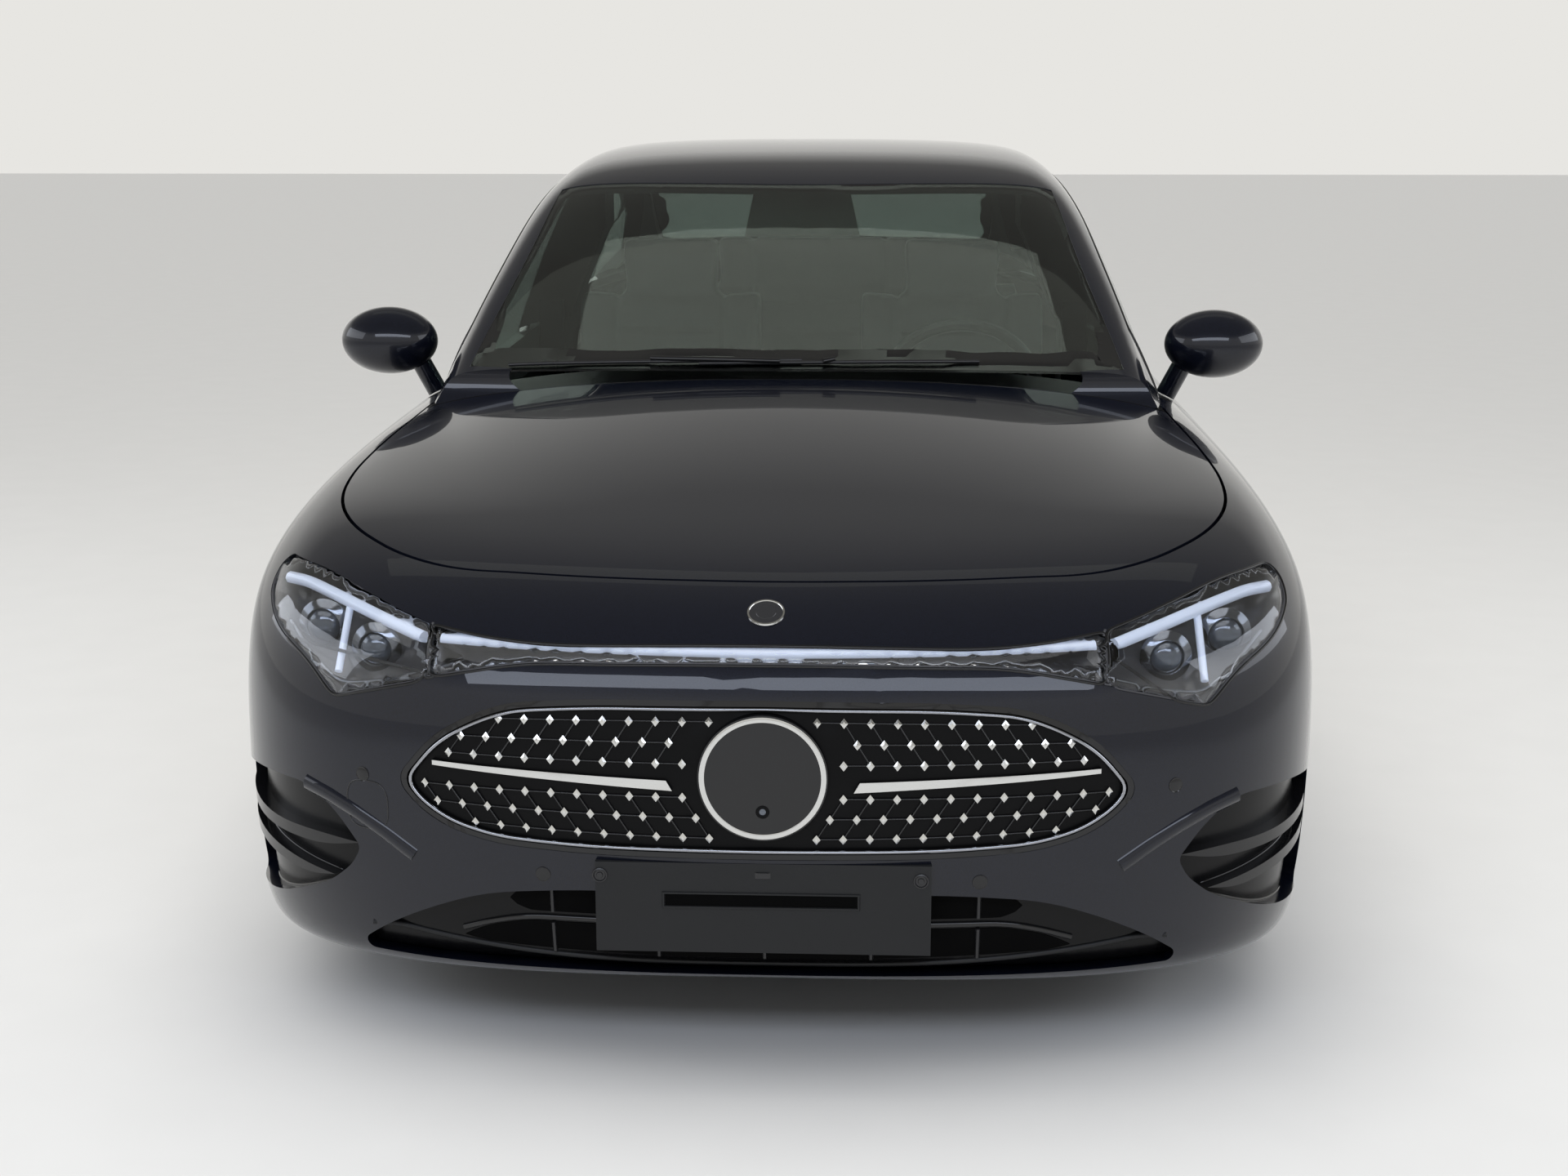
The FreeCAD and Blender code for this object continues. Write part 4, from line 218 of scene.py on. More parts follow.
def with_bmesh(mesh, change):
    """Edits a mesh in place."""
    work = bmesh.new()
    work.from_mesh(mesh)
    change(work)
    work.to_mesh(mesh)
    work.free()


def linked(name, mesh):
    """A new object of a mesh, in the scene."""
    piece = bpy.data.objects.new(name, mesh)
    scene.collection.objects.link(piece)
    return piece


def merged_copy(node, name):
    """A copy of a CAD node whose loose triangles are joined into one skin."""
    mesh = nodes[node].data.copy()
    mesh.name = name

    def join(work):
        bmesh.ops.remove_doubles(work, verts=work.verts, dist=0.00002)
        bmesh.ops.dissolve_degenerate(work, edges=work.edges, dist=0.00001)
        bmesh.ops.triangulate(work, faces=work.faces)

    with_bmesh(mesh, join)
    mesh.materials.clear()
    return linked(name, mesh)


def sheets_of(mesh):
    """Numbers each face with the smooth sheet that it belongs to."""
    work = bmesh.new()
    work.from_mesh(mesh)
    work.faces.ensure_lookup_table()
    label = [-1] * len(work.faces)
    count = 0
    for seed in work.faces:
        if label[seed.index] >= 0:
            continue
        label[seed.index] = count
        edge_faces = [seed]
        while edge_faces:
            face = edge_faces.pop()
            for edge in face.edges:
                for other in edge.link_faces:
                    if label[other.index] < 0 and face.normal.angle(other.normal, 4.0) < CREASE:
                        label[other.index] = count
                        edge_faces.append(other)
        count += 1
    work.free()
    return np.array(label), count


def read(rows, what, width=3, kind=float):
    """A value of each item of a mesh, as an array."""
    values = np.zeros(len(rows) * width, kind)
    rows.foreach_get(what, values)
    return values.reshape(-1, width)


class Skin:
    """The mesh of one panel as arrays, with its faces sorted into smooth sheets."""

    def __init__(self, piece):
        mesh = piece.data
        self.piece = piece
        self.points = read(mesh.vertices, "co")
        self.corners = read(mesh.loops, "vertex_index", 1, int).reshape(-1, 3)
        a, b, c = (self.points[self.corners[:, k]] for k in range(3))
        self.face_normals = np.cross(b - a, c - a)
        self.areas = np.linalg.norm(self.face_normals, axis=1) / 2
        self.face_normals /= np.maximum(2 * self.areas, 1e-12)[:, None]
        self.labels, self.count = sheets_of(mesh)
        self.sheet_area = np.bincount(self.labels, self.areas, self.count)
        self.normals = self.sheet_normals()

    def middles(self):
        """The middle of each face."""
        return self.points[self.corners].mean(axis=1)

    def sheet_normals(self):
        """One normal for each corner, averaged over the faces of its own sheet."""
        keys = self.corners.astype(np.int64) * self.count + self.labels[:, None]
        self.keys, place = np.unique(keys, return_inverse=True)
        self.place = place.reshape(-1)
        total = np.zeros((len(self.keys), 3))
        weight = np.repeat(self.areas, 3)[:, None] * np.repeat(self.face_normals, 3, axis=0)
        np.add.at(total, self.place, weight)
        return total / np.maximum(np.linalg.norm(total, axis=1), 1e-12)[:, None]

    def set_normals(self):
        mesh = self.piece.data
        mesh.polygons.foreach_set("use_smooth", [True] * len(mesh.polygons))
        mesh.normals_split_custom_set(self.normals[self.place].tolist())
        mesh.update()

    def coat(self, *finishes):
        for finish in finishes:
            self.piece.data.materials.append(finish)

    def set_coats(self, numbers):
        """Gives each face one of the skin's finishes, by number."""
        self.piece.data.polygons.foreach_set("material_index", [int(number) for number in numbers])


def fitted_normals(skins):
    """Turns the normals of the wide sheets to those of a smooth surface through the points near each."""
    spots, guesses, owners = [], [], []
    for skin in skins:
        vertex = skin.keys // skin.count
        sheet = skin.keys % skin.count
        wide = np.nonzero(skin.sheet_area[sheet] > SHEET_AREA)[0]
        spots.append(skin.points[vertex[wide]])
        guesses.append(skin.normals[wide])
        owners.append((skin, wide))
    spots = np.concatenate(spots)
    guesses = np.concatenate(guesses)
    cells = np.floor(np.concatenate([spots / CELL, guesses * 1.5], axis=1)).astype(np.int64)
    _, thin = np.unique(cells, axis=0, return_index=True)
    tree = kdtree.KDTree(len(thin))
    for k, n in enumerate(thin):
        tree.insert(Vector(spots[n]), k)
    tree.balance()
    found = np.zeros((len(spots), NEIGHBOURS), int)
    for k, spot in enumerate(spots):
        hits = tree.find_n(Vector(spot), NEIGHBOURS)
        found[k] = [hits[m % len(hits)][1] for m in range(NEIGHBOURS)]
    others = thin[found]
    offsets = spots[others] - spots[:, None]
    agree = np.einsum("kni,ki->kn", guesses[others], guesses)
    distance = np.linalg.norm(offsets, axis=2)
    width = np.maximum(distance[:, -1:], 1e-6)
    height = np.einsum("kni,ki->kn", offsets, guesses)
    weight = np.where((agree > SAME_SIDE) & (np.abs(height) < MOST_SLOPE * distance + 0.002), 1.0, 0.0)
    weight *= 1.0 / (1.0 + (2.0 * distance / width) ** 2)
    first = np.cross(guesses, np.where(np.abs(guesses[:, 2:]) < 0.8, [[0, 0, 1]], [[1, 0, 0]]))
    first /= np.linalg.norm(first, axis=1)[:, None]
    second = np.cross(guesses, first)
    u = np.einsum("kni,ki->kn", offsets, first) / width
    v = np.einsum("kni,ki->kn", offsets, second) / width
    terms = np.stack([u, v, u * u, u * v, v * v], axis=2)
    square = np.einsum("kni,kn,knj->kij", terms, weight, terms)
    square += DAMPING
    target = np.einsum("kni,kn,kn->ki", terms, weight, height / width)
    slope = np.linalg.solve(square, target[..., None])[..., 0]
    fitted = guesses - slope[:, :1] * first - slope[:, 1:2] * second
    fitted /= np.linalg.norm(fitted, axis=1)[:, None]
    sound = (weight > 0).sum(axis=1) >= FEWEST_POINTS
    sound &= np.einsum("ki,ki->k", fitted, guesses) > LEAST_AGREEMENT
    fitted = np.where(sound[:, None], fitted, guesses)
    start = 0
    for skin, wide in owners:
        skin.normals[wide] = fitted[start:start + len(wide)]
        start += len(wide)


def draw_in(skin, gap):
    """Moves the narrow edge faces of a panel inwards, so that a shut line shows beside it."""
    narrow = skin.sheet_area[skin.labels] <= SHEET_AREA
    push = np.zeros_like(skin.points)
    for k in range(3):
        np.add.at(push, skin.corners[narrow, k], skin.face_normals[narrow] * skin.areas[narrow, None])
    length = np.linalg.norm(push, axis=1)
    moved = length > 1e-12
    skin.points[moved] -= gap * push[moved] / length[moved, None]
    skin.piece.data.vertices.foreach_set("co", skin.points.reshape(-1))


def metallic_paint():
    stuff, tree, shader = new_finish("blue_black_paint", {
        "Metallic": 0.2, "Specular IOR Level": 0.12, "Roughness": 0.32, "Coat Weight": 1.0, "Coat Roughness": 0.015,
        "Coat IOR": 1.42})
    coords = add_node(tree, "ShaderNodeTexCoord").outputs["Object"]
    flakes = add_node(tree, "ShaderNodeTexVoronoi", {"Vector": coords, "Scale": 2600.0})
    bright = add_node(tree, "ShaderNodeSeparateColor", {0: flakes.outputs["Color"]}).outputs[0]
    fill(tree, shader, {"Base Color": two_shades(tree, bright, (0.0012, 0.0014, 0.0026), (0.006, 0.008, 0.018))})
    return stuff


def between(tree, amount, low, high):
    """A number that goes from low to high as the amount goes from 0 to 1."""
    spread = add_node(tree, "ShaderNodeMapRange", {"Value": amount, "To Min": low, "To Max": high})
    return spread.outputs["Result"]


def gloss_black(name, shade=0.006, roughness=0.09):
    """Polished black plastic with a faint waviness in its gloss."""
    stuff, tree, shader = new_finish(name, {"Base Color": (shade, shade, shade * 1.1, 1)})
    fill(tree, shader, {"Roughness": between(tree, clouds(tree, 9.0), roughness * 0.7, roughness * 1.3)})
    return stuff


def fit(piece, body, slot, *replaced):
    """Fixes a piece to a body, in place of the CAD nodes that it stands for."""
    if replaced:
        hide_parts(*replaced)
    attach(piece, body)
    return piece


paint = metallic_paint()
piano_black = gloss_black("piano_black")
panels = {node: Skin(merged_copy(node, "painted_" + node)) for node in PAINTED}
fitted_normals(list(panels.values()))


def is_pillar(points):
    """Between the two side windows, above the doors' shoulders."""
    along, up = points[:, 1], points[:, 2]
    return (PILLAR_ALONG[0] < along) & (along < PILLAR_ALONG[1]) & (PILLAR_UP[0] < up) & (up < PILLAR_UP[1])


for node, skin in panels.items():
    draw_in(skin, PANEL_GAP)
    skin.set_normals()
    skin.coat(paint, piano_black)
    if node.startswith("side_frame"):
        skin.set_coats(is_pillar(skin.middles()))
    fit(skin.piece, nodes[node]["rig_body"], "paint", node)

# Windows
# Laminated windscreen and toughened side and rear windows in green-grey tinted glass, bonded in behind a fired
# black border.
GLASS = ["windscreen", "rear_window", "quarter_windows", "window_front_left", "window_front_right",
         "window_rear_left", "window_rear_right"]
# The black border's points stand this far apart, and it widens to its foot over this share of the pane's height
BORDER_STEP = 0.02
FOOT_SHARE = 0.09
# Where the border's rings of points lie, from the rim to its inner edge
BORDER_RINGS = (0.004, 0.34, 0.67, 1.0)
FRONT, REAR, UP, DOWN = (0, -1, 0), (0, 1, 0), (0, 0, 1), (0, 0, -1)


def clear_finish(name, low, high, scale, transmission=1.0):
    """Clear glass or plastic, its tint drifting a little between two shades."""
    stuff, tree, shader = new_finish(name, {"Roughness": 0.0, "IOR": 1.45, "Transmission Weight": transmission})
    fill(tree, shader, {"Base Color": two_shades(tree, clouds(tree, scale), low, high)})
    return stuff


glass = clear_finish("tinted_window_glass", (0.36, 0.43, 0.40), (0.40, 0.47, 0.44), scale=0.8)
panes = {node: Skin(merged_copy(node, "pane_" + node)) for node in GLASS}
fitted_normals(list(panes.values()))
for node, skin in panes.items():
    skin.set_normals()
    skin.coat(glass)
    fit(skin.piece, nodes[node]["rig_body"], "tinted_glass", node)


def sheet_facing(skin, direction, least=0.3, area=SHEET_AREA):
    """The faces of the wide sheets that look in a direction."""
    total = np.zeros((skin.count, 3))
    np.add.at(total, skin.labels, skin.face_normals * skin.areas[:, None])
    total /= np.maximum(skin.sheet_area, 1e-12)[:, None]
    chosen = (total @ np.array(direction) > least) & (skin.sheet_area > area)
    return chosen[skin.labels]


def rim_of(skin, faces):
    """The points of the longest closed rim round some faces, in order."""
    sides = {side for a, b, c in skin.corners[faces] for side in ((a, b), (b, c), (c, a))}
    onward = {a: b for a, b in sides if (b, a) not in sides}
    loops = []
    while onward:
        start = next(iter(onward))
        loop = [start]
        here = onward.pop(start)
        while here != start and here in onward:
            loop.append(here)
            here = onward.pop(here)
        loops.append(loop)
    return skin.points[sorted(loops, key=len, reverse=True)[0]]


def evened(points, spacing, closed=True):
    """The same line with its points at an even spacing."""
    points = np.array(points)
    if closed:
        points = np.concatenate([points, points[:1]])
    steps = np.linalg.norm(np.diff(points, axis=0), axis=1)
    run = np.concatenate([[0], np.cumsum(steps)])
    count = max(int(run[-1] / spacing), 4)
    places = np.linspace(0, run[-1], count + 1)
    line = np.stack([np.interp(places, run, points[:, k]) for k in range(3)], axis=1)
    return line[:-1] if closed else line


def smoothed(line, turns, closed=True):
    """The same line after some turns of drawing each point to its neighbours."""
    line = np.array(line)
    for _ in range(turns):
        middle = 0.25 * np.roll(line, 1, axis=0) + 0.5 * line + 0.25 * np.roll(line, -1, axis=0)
        if not closed:
            middle[0], middle[-1] = line[0], line[-1]
        line = middle
    return line


def rim_line(skin, faces, spacing):
    """An even and smooth line along the rim of some faces."""
    return smoothed(evened(rim_of(skin, faces), spacing), 2)


def towards(way, normal):
    """The normal, turned round if it points the other way."""
    return normal if normal.dot(Vector(way)) > 0 else -normal


class Bed:
    """The skins of some panels, on which small pieces are set."""

    def __init__(self, skins):
        points = np.concatenate([skin.points for skin in skins])
        starts = np.cumsum([0] + [len(skin.points) for skin in skins])
        corners = np.concatenate([skin.corners + start for skin, start in zip(skins, starts)])
        self.tree = BVHTree.FromPolygons(points.tolist(), corners.tolist())

    def cast(self, start, direction):
        return self.tree.ray_cast(Vector(start), Vector(direction))[:2]

    def from_front(self, x, z):
        return self.cast((x, -4.0, z), REAR)

    def nearest(self, point):
        return self.tree.find_nearest(Vector(point))[:2]


def shape(name, points, faces=(), edges=(), smooth=False):
    """A bare mesh of points and faces."""
    mesh = bpy.data.meshes.new(name)
    mesh.from_pydata([tuple(p) for p in points], edges, [tuple(int(c) for c in face) for face in faces])
    if smooth:
        mesh.polygons.foreach_set("use_smooth", [True] * len(mesh.polygons))
    return mesh


def new_piece(name, points, faces, stuff, slot, body="body", smooth=False, facing=None):
    """A mesh piece on a body, with its finish. An open one is turned to look in a direction."""
    mesh = shape(name, points, faces, smooth=smooth)
    mesh.materials.append(stuff)
    mesh.update()
    if facing is not None:
        total = sum((face.normal * face.area for face in mesh.polygons), Vector((0, 0, 0)))
        if total.dot(Vector(facing)) < 0:
            mesh.flip_normals()
    return fit(linked(name, mesh), body, slot)


def ring_faces(count, rings):
    """Four-sided faces between rings of points that follow each other in a list."""
    return [(r * count + k, r * count + (k + 1) % count, (r + 1) * count + (k + 1) % count, (r + 1) * count + k)
            for r in range(rings - 1) for k in range(count)]


def frit(name, skin, direction, width, foot_width, lift, body="body"):
    """The black border fired on a pane: a band along its rim, wider at its foot."""
    line = rim_line(skin, sheet_facing(skin, direction), BORDER_STEP)
    bed = Bed([skin])
    low, high = line[:, 2].min(), line[:, 2].max()
    rise = np.clip(1 - (line[:, 2] - low) / (FOOT_SHARE * (high - low)), 0, 1)
    widths = smoothed(width + (foot_width - width) * rise[:, None], 3)
    middle = line.mean(axis=0)
    inner = line
    for _ in range(3):
        ahead = np.roll(inner, -1, axis=0) - np.roll(inner, 1, axis=0)
        ahead /= np.linalg.norm(ahead, axis=1)[:, None]
        inwards = np.cross(np.array([bed.nearest(p)[1] for p in inner]), ahead)
        inwards *= np.sign(np.einsum("ki,ki->k", inwards, middle - inner))[:, None]
        inner = smoothed(inner + inwards * widths / 3, 2)
    points = []
    for share in BORDER_RINGS:
        for p in line + (inner - line) * share:
            hit, normal = bed.nearest(p)
            points.append(hit + towards(direction, normal) * lift)
    new_piece(name, points, ring_faces(len(line), len(BORDER_RINGS)), border_black, "black_trim", body, smooth=True,
              facing=direction)


border_black = gloss_black("fired_black_border", shade=0.004, roughness=0.25)
frit("windscreen_border", panes["windscreen"], (0, -0.5, 0.8), width=0.032, foot_width=0.085, lift=0.0005)
frit("rear_window_border", panes["rear_window"], (0, 0.4, 0.9), width=0.04, foot_width=0.07, lift=0.0005)
SIDES = (("left", 1), ("right", -1))
DOORS = [("%s_%s" % (end, side), "%s_door_%s" % (end, side), out) for side, out in SIDES for end in ("front", "rear")]
for door, body, out in DOORS:
    frit("window_border_" + door, panes["window_" + door], (out, 0, 0.3), width=0.012, foot_width=0.016, lift=0.0004,
         body=body)

# Headlamps and light band
# Sealed lamps: a clear moulded cover bonded over a black housing that holds two round projectors and a plain upright
# daytime bar. Between the lamps runs a dark band with one light line behind the same kind of cover.
COVER_THICKNESS = 0.0025
HOUSING_INSET = 0.004
LAMP_EDGE = 0.5235
LAMP_ZONES = (("left", (0.64, -0.77, 0.15)), ("right", (-0.64, -0.77, 0.15)), ("band", (0.0, -0.98, 0.2)))


def bright_metal(name, colour, roughness):
    """Vacuum-plated or polished metal with a fine grain in its gloss."""
    stuff, tree, shader = new_finish(name, {"Base Color": (*colour, 1), "Metallic": 1.0})
    fill(tree, shader, {"Roughness": between(tree, clouds(tree, 60.0), roughness * 0.7, roughness * 1.3)})
    return stuff


cover = new_finish("clear_cover", {"Base Color": (0.93, 0.95, 0.98, 1), "Roughness": 0.0, "IOR": 1.38,
                                   "Transmission Weight": 1.0, "Coat Weight": 0.3})[0]
lamp_black = gloss_black("lamp_housing_black", shade=0.045, roughness=0.22)
guide_white = new_finish("frosted_light_guide", {
    "Base Color": (0.72, 0.78, 0.90, 1), "Roughness": 0.22, "Emission Color": (0.62, 0.70, 0.88, 1),
    "Emission Strength": 0.28, "Coat Weight": 0.6})[0]


def finished(piece):
    """Turns a piece and its modifiers into one plain mesh."""
    mesh = bpy.data.meshes.new_from_object(piece.evaluated_get(bpy.context.evaluated_depsgraph_get()))
    piece.modifiers.clear()
    piece.data = mesh
    return piece


def modifier(piece, kind, **settings):
    added = piece.modifiers.new(kind.lower(), kind)
    for setting, value in settings.items():
        setattr(added, setting, value)
    return added


def lamp(skin, inside, direction, cover_name, housing_name, cover_finish, cover_slot, body, node):
    """The cover and the housing of one lamp, each with a wall. Gives back the cover's faces."""
    front = sheet_facing(skin, direction, least=0.25, area=0.002) & inside
    for name, faces, thickness, stuff, slot in (
            (cover_name, front, COVER_THICKNESS, cover_finish, cover_slot),
            (housing_name, inside & ~front, HOUSING_INSET, lamp_black, "black_trim")):
        used, corners = np.unique(skin.corners[faces], return_inverse=True)
        piece = linked(name, shape(name, skin.points[used], corners.reshape(-1, 3), smooth=True))
        modifier(piece, "SOLIDIFY", thickness=thickness, offset=-1.0, use_even_offset=False)
        finished(piece).data.materials.append(stuff)
        fit(piece, body, slot, node)
    return front


lamps = Skin(merged_copy("front_lamps", "lamp_blank"))
fitted_normals([lamps])
across = lamps.middles()[:, 0]
lamp_parts = {"left": across > LAMP_EDGE, "right": across < -LAMP_EDGE, "band": np.abs(across) < LAMP_EDGE}
cover_edges = {}
for zone, direction in LAMP_ZONES:
    front = lamp(lamps, lamp_parts[zone], direction, "lamp_cover_" + zone, "lamp_housing_" + zone, cover, "lens",
                 "body", "front_lamps")
    cover_edges[zone] = rim_line(lamps, front, spacing=0.008)
lamp_bed = Bed([lamps])
bpy.data.objects.remove(lamps.piece)


def new_tree(name, line_in, inputs, made_out):
    """An empty geometry tree with named inputs, its inputs' outlets and the keys that set them."""
    tree = bpy.data.node_groups.new(name, "GeometryNodeTree")
    sockets = tree.interface
    sockets.new_socket(line_in, in_out="INPUT", socket_type="NodeSocketGeometry")
    keys = [sockets.new_socket(label, in_out="INPUT", socket_type="NodeSocket" + kind).identifier
            for label, kind in inputs.items()]
    sockets.new_socket(made_out, in_out="OUTPUT", socket_type="NodeSocketGeometry")
    return tree, add_node(tree, "NodeGroupInput").outputs, keys


def close_tree(tree, made, finish):
    """Realizes what the tree has made, gives it its finish and hands it out."""
    realized = add_node(tree, "GeometryNodeRealizeInstances", {"Geometry": made})
    coated = add_node(tree, "GeometryNodeSetMaterial", {"Geometry": realized.outputs["Geometry"], "Material": finish})
    add_node(tree, "NodeGroupOutput", {0: coated.outputs["Geometry"]})


def made_by(tree, keys, values, piece):
    maker = piece.modifiers.new("maker", "NODES")
    maker.node_group = tree
    for key, value in zip(keys, values):
        maker[key] = value
    return finished(piece)


def bead_tree():
    """Follows a line of edges with a round bead."""
    tree, start, keys = new_tree("bead_along_line", "Line", {"Radius": "Float", "Finish": "Material", "Sides": "Int"},
                                 "Bead")
    line = add_node(tree, "GeometryNodeMeshToCurve", {"Mesh": start["Line"]}).outputs["Curve"]
    ring = add_node(tree, "GeometryNodeCurvePrimitiveCircle",
                    {"Radius": start["Radius"], "Resolution": start["Sides"]}).outputs["Curve"]
    sweep = add_node(tree, "GeometryNodeCurveToMesh", {"Curve": line, "Profile Curve": ring, "Fill Caps": True})
    smooth = add_node(tree, "GeometryNodeSetShadeSmooth", {"Geometry": sweep.outputs["Mesh"]})
    close_tree(tree, smooth.outputs["Geometry"], start["Finish"])
    return tree, keys


BEAD, BEAD_KEYS = bead_tree()


def bead(name, line, stuff, slot, body="body", *, radius, closed=True, sides=8, edges=None):
    """A round bead along a line of points, or along separate edges between them."""
    count = len(line)
    if edges is None:
        edges = [(k, (k + 1) % count) for k in range(count if closed else count - 1)]
    piece = linked(name, shape(name, line, edges=edges))
    return fit(made_by(BEAD, BEAD_KEYS, (radius, stuff, sides), piece), body, slot)


def turned_piece(name, section, centre, stuff, slot, axis=FRONT, body="body", steps=40):
    """A turned piece: a section of (along, radius) pairs swept round an axis."""
    axis = Vector(axis).normalized()
    side = axis.orthogonal().normalized()
    up = axis.cross(side)
    points, faces = [], []
    count = len(section)
    for k in range(steps):
        angle = 2 * math.pi * k / steps
        spoke = side * math.cos(angle) + up * math.sin(angle)
        points += [Vector(centre) + axis * along + spoke * radius for along, radius in section]
        here, after = k * count, (k + 1) % steps * count
        faces += [(here + j, here + j + 1, after + j + 1, after + j) for j in range(count - 1)]
    piece = new_piece(name, points, faces, stuff, slot, body, smooth=True)

    def close_poles(work):
        bmesh.ops.remove_doubles(work, verts=work.verts, dist=0.00002)
        bmesh.ops.recalc_face_normals(work, faces=work.faces)

    with_bmesh(piece.data, close_poles)
    piece.data.set_sharp_from_angle(angle=math.radians(35))
    return piece


# Across and up on the lamp; the projectors also have a radius
PROJECTORS = [(0.640, 0.704, 0.026), (0.748, 0.724, 0.028)]
PROJECTOR_SINK = 0.034
DAYTIME_BAR = [(0.690, 0.752), (0.697, 0.655)]
DAYTIME_BAR_SINK = 0.018
LIGHT_LINE = [(0.545, 0.722), (0.62, 0.741), (0.70, 0.758), (0.78, 0.768), (0.825, 0.764)]
LOWER_LINE = [(0.545, 0.672), (0.62, 0.650), (0.69, 0.637), (0.742, 0.670), (0.80, 0.712)]
LINE_SINK = 0.012
BAND_REACH, BAND_HEIGHT = 0.51, 0.7115

projector_glass, tree, shader = new_finish("projector_glass", {
    "Roughness": 0.04, "IOR": 1.6, "Coat Weight": 1.0, "Metallic": 0.25})
fill(tree, shader, {"Base Color": two_shades(tree, clouds(tree, 12.0), (0.05, 0.06, 0.08), (0.11, 0.13, 0.16))})
dark_plated = bright_metal("dark_plated_bezel", (0.20, 0.21, 0.23), roughness=0.12)


def behind_cover(x, z, sink):
    hit, normal = lamp_bed.from_front(x, z)
    return hit - normal * sink


for side, out in SIDES:
    for number, (x, z, radius) in enumerate(PROJECTORS):
        centre = behind_cover(out * x, z, PROJECTOR_SINK)
        axis = (0.12 * out, -1, 0)
        dome = [(0.0, radius), (0.006, radius * 0.9), (0.011, radius * 0.65), (0.014, radius * 0.3), (0.015, 0.0)]
        turned_piece("projector_lens_%s_%d" % (side, number), dome, centre, projector_glass, "lens", axis)
        bezel = [(-0.012, radius), (0.004, radius), (0.006, radius + 0.002), (0.004, radius + 0.006),
                 (-0.004, radius + 0.016)]
        turned_piece("projector_bezel_%s_%d" % (side, number), bezel, centre, dark_plated, "satin_trim", axis)
    bar = [behind_cover(out * x, z, DAYTIME_BAR_SINK) for x, z in DAYTIME_BAR]
    bead("daytime_bar_" + side, bar, guide_white, "lens", radius=0.0065, closed=False, sides=6)
    for name, places, radius, stuff in (("light_line_", LIGHT_LINE, 0.0105, guide_white),
                                        ("lower_line_", LOWER_LINE, 0.0025, dark_plated)):
        line = evened([behind_cover(out * x, z, LINE_SINK) for x, z in places], 0.01, closed=False)
        bead(name + side, smoothed(line, 6, closed=False), stuff, "lens", radius=radius, closed=False)
band_line = [lamp_bed.from_front(x, BAND_HEIGHT + 0.008 * abs(x))[0] for x in np.linspace(-BAND_REACH, BAND_REACH, 90)]
bead("band_light_line", [p + Vector((0, LINE_SINK, 0)) for p in band_line], guide_white, "lens", radius=0.0075,
     closed=False)
for zone, edge in cover_edges.items():
    bead("lamp_seal_" + zone, edge, border_black, "rubber", radius=0.003, sides=6)

# Grille
# A moulded black panel with a bright frame line, two bright bars and rows of small faceted studs joined by thin ribs.
# The round plate in its middle is bare, with a bright ring and a small camera.
DISC_CENTRE = (0.0, -2.3595, 0.5314)
DISC_RADIUS = 0.1
DISC_CLEARANCE = 0.018
STUD_PITCH = 0.041
STUD_LIFT = 0.004
FIRST_STUD = 0.062
ROW_PITCH = 0.033
FIRST_ROW = 0.0265
ROW_SAG = 0.020
BAR_HEIGHT = 0.5247
STUD_WIDTH, STUD_HEIGHT, STUD_DEPTH = 0.0125, 0.0160, 0.0030
FRAME_INSET = 0.0045
PANEL_COAT, BAR_COAT, FRAME_COAT = 0, 1, 2


def set_surface(tree, shader, amount, colour, drift, roughness, gloss_drift, relief=None, strength=0.0, depth=0.0,
                ends=(0.0, 1.0)):
    """Lets a finish's shade and gloss drift with an amount, and presses a relief into it."""
    low, high = ([c * (1 + sign * drift) for c in colour] for sign in (-1, 1))
    fill(tree, shader, {
        "Base Color": two_shades(tree, amount, low, high, ends),
        "Roughness": between(tree, amount, roughness * (1 - gloss_drift), roughness * (1 + gloss_drift))})
    if relief is not None:
        bump = add_node(tree, "ShaderNodeBump", {"Strength": strength, "Distance": depth, "Height": relief})
        fill(tree, shader, {"Normal": bump.outputs["Normal"]})


def moulded_plastic(name, colour, roughness, grain_size=700.0, depth=0.12, shine=0.5):
    """Unpainted plastic with the fine pebble that its mould leaves."""
    stuff, tree, shader = new_finish(name, {"Specular IOR Level": shine})
    coords = add_node(tree, "ShaderNodeTexCoord").outputs["Object"]
    pebbles = add_node(tree, "ShaderNodeTexVoronoi", {"Vector": coords, "Scale": grain_size}).outputs["Distance"]
    set_surface(tree, shader, clouds(tree, 14.0), colour, drift=0.15, roughness=roughness, gloss_drift=0.15,
                relief=pebbles, strength=depth, depth=0.0004)
    return stuff


def set_on_points_tree():
    """Sets one small piece on each point, turned and stretched as the point says."""
    tree, start, keys = new_tree("set_on_points", "Points", {"Small Piece": "Object", "Finish": "Material"}, "Pieces")
    turn, stretch = (add_node(tree, "GeometryNodeInputNamedAttribute", {"Name": name}, data_type="FLOAT_VECTOR")
                     for name in ("turn", "stretch"))
    source = add_node(tree, "GeometryNodeObjectInfo", {"Object": start["Small Piece"]})
    on_points = add_node(tree, "GeometryNodeInstanceOnPoints", {
        "Points": start["Points"], "Instance": source.outputs["Geometry"], "Rotation": turn.outputs["Attribute"],
        "Scale": stretch.outputs["Attribute"]})
    close_tree(tree, on_points.outputs["Instances"], start["Finish"])
    return tree, keys


SET_ON_POINTS, SET_KEYS = set_on_points_tree()


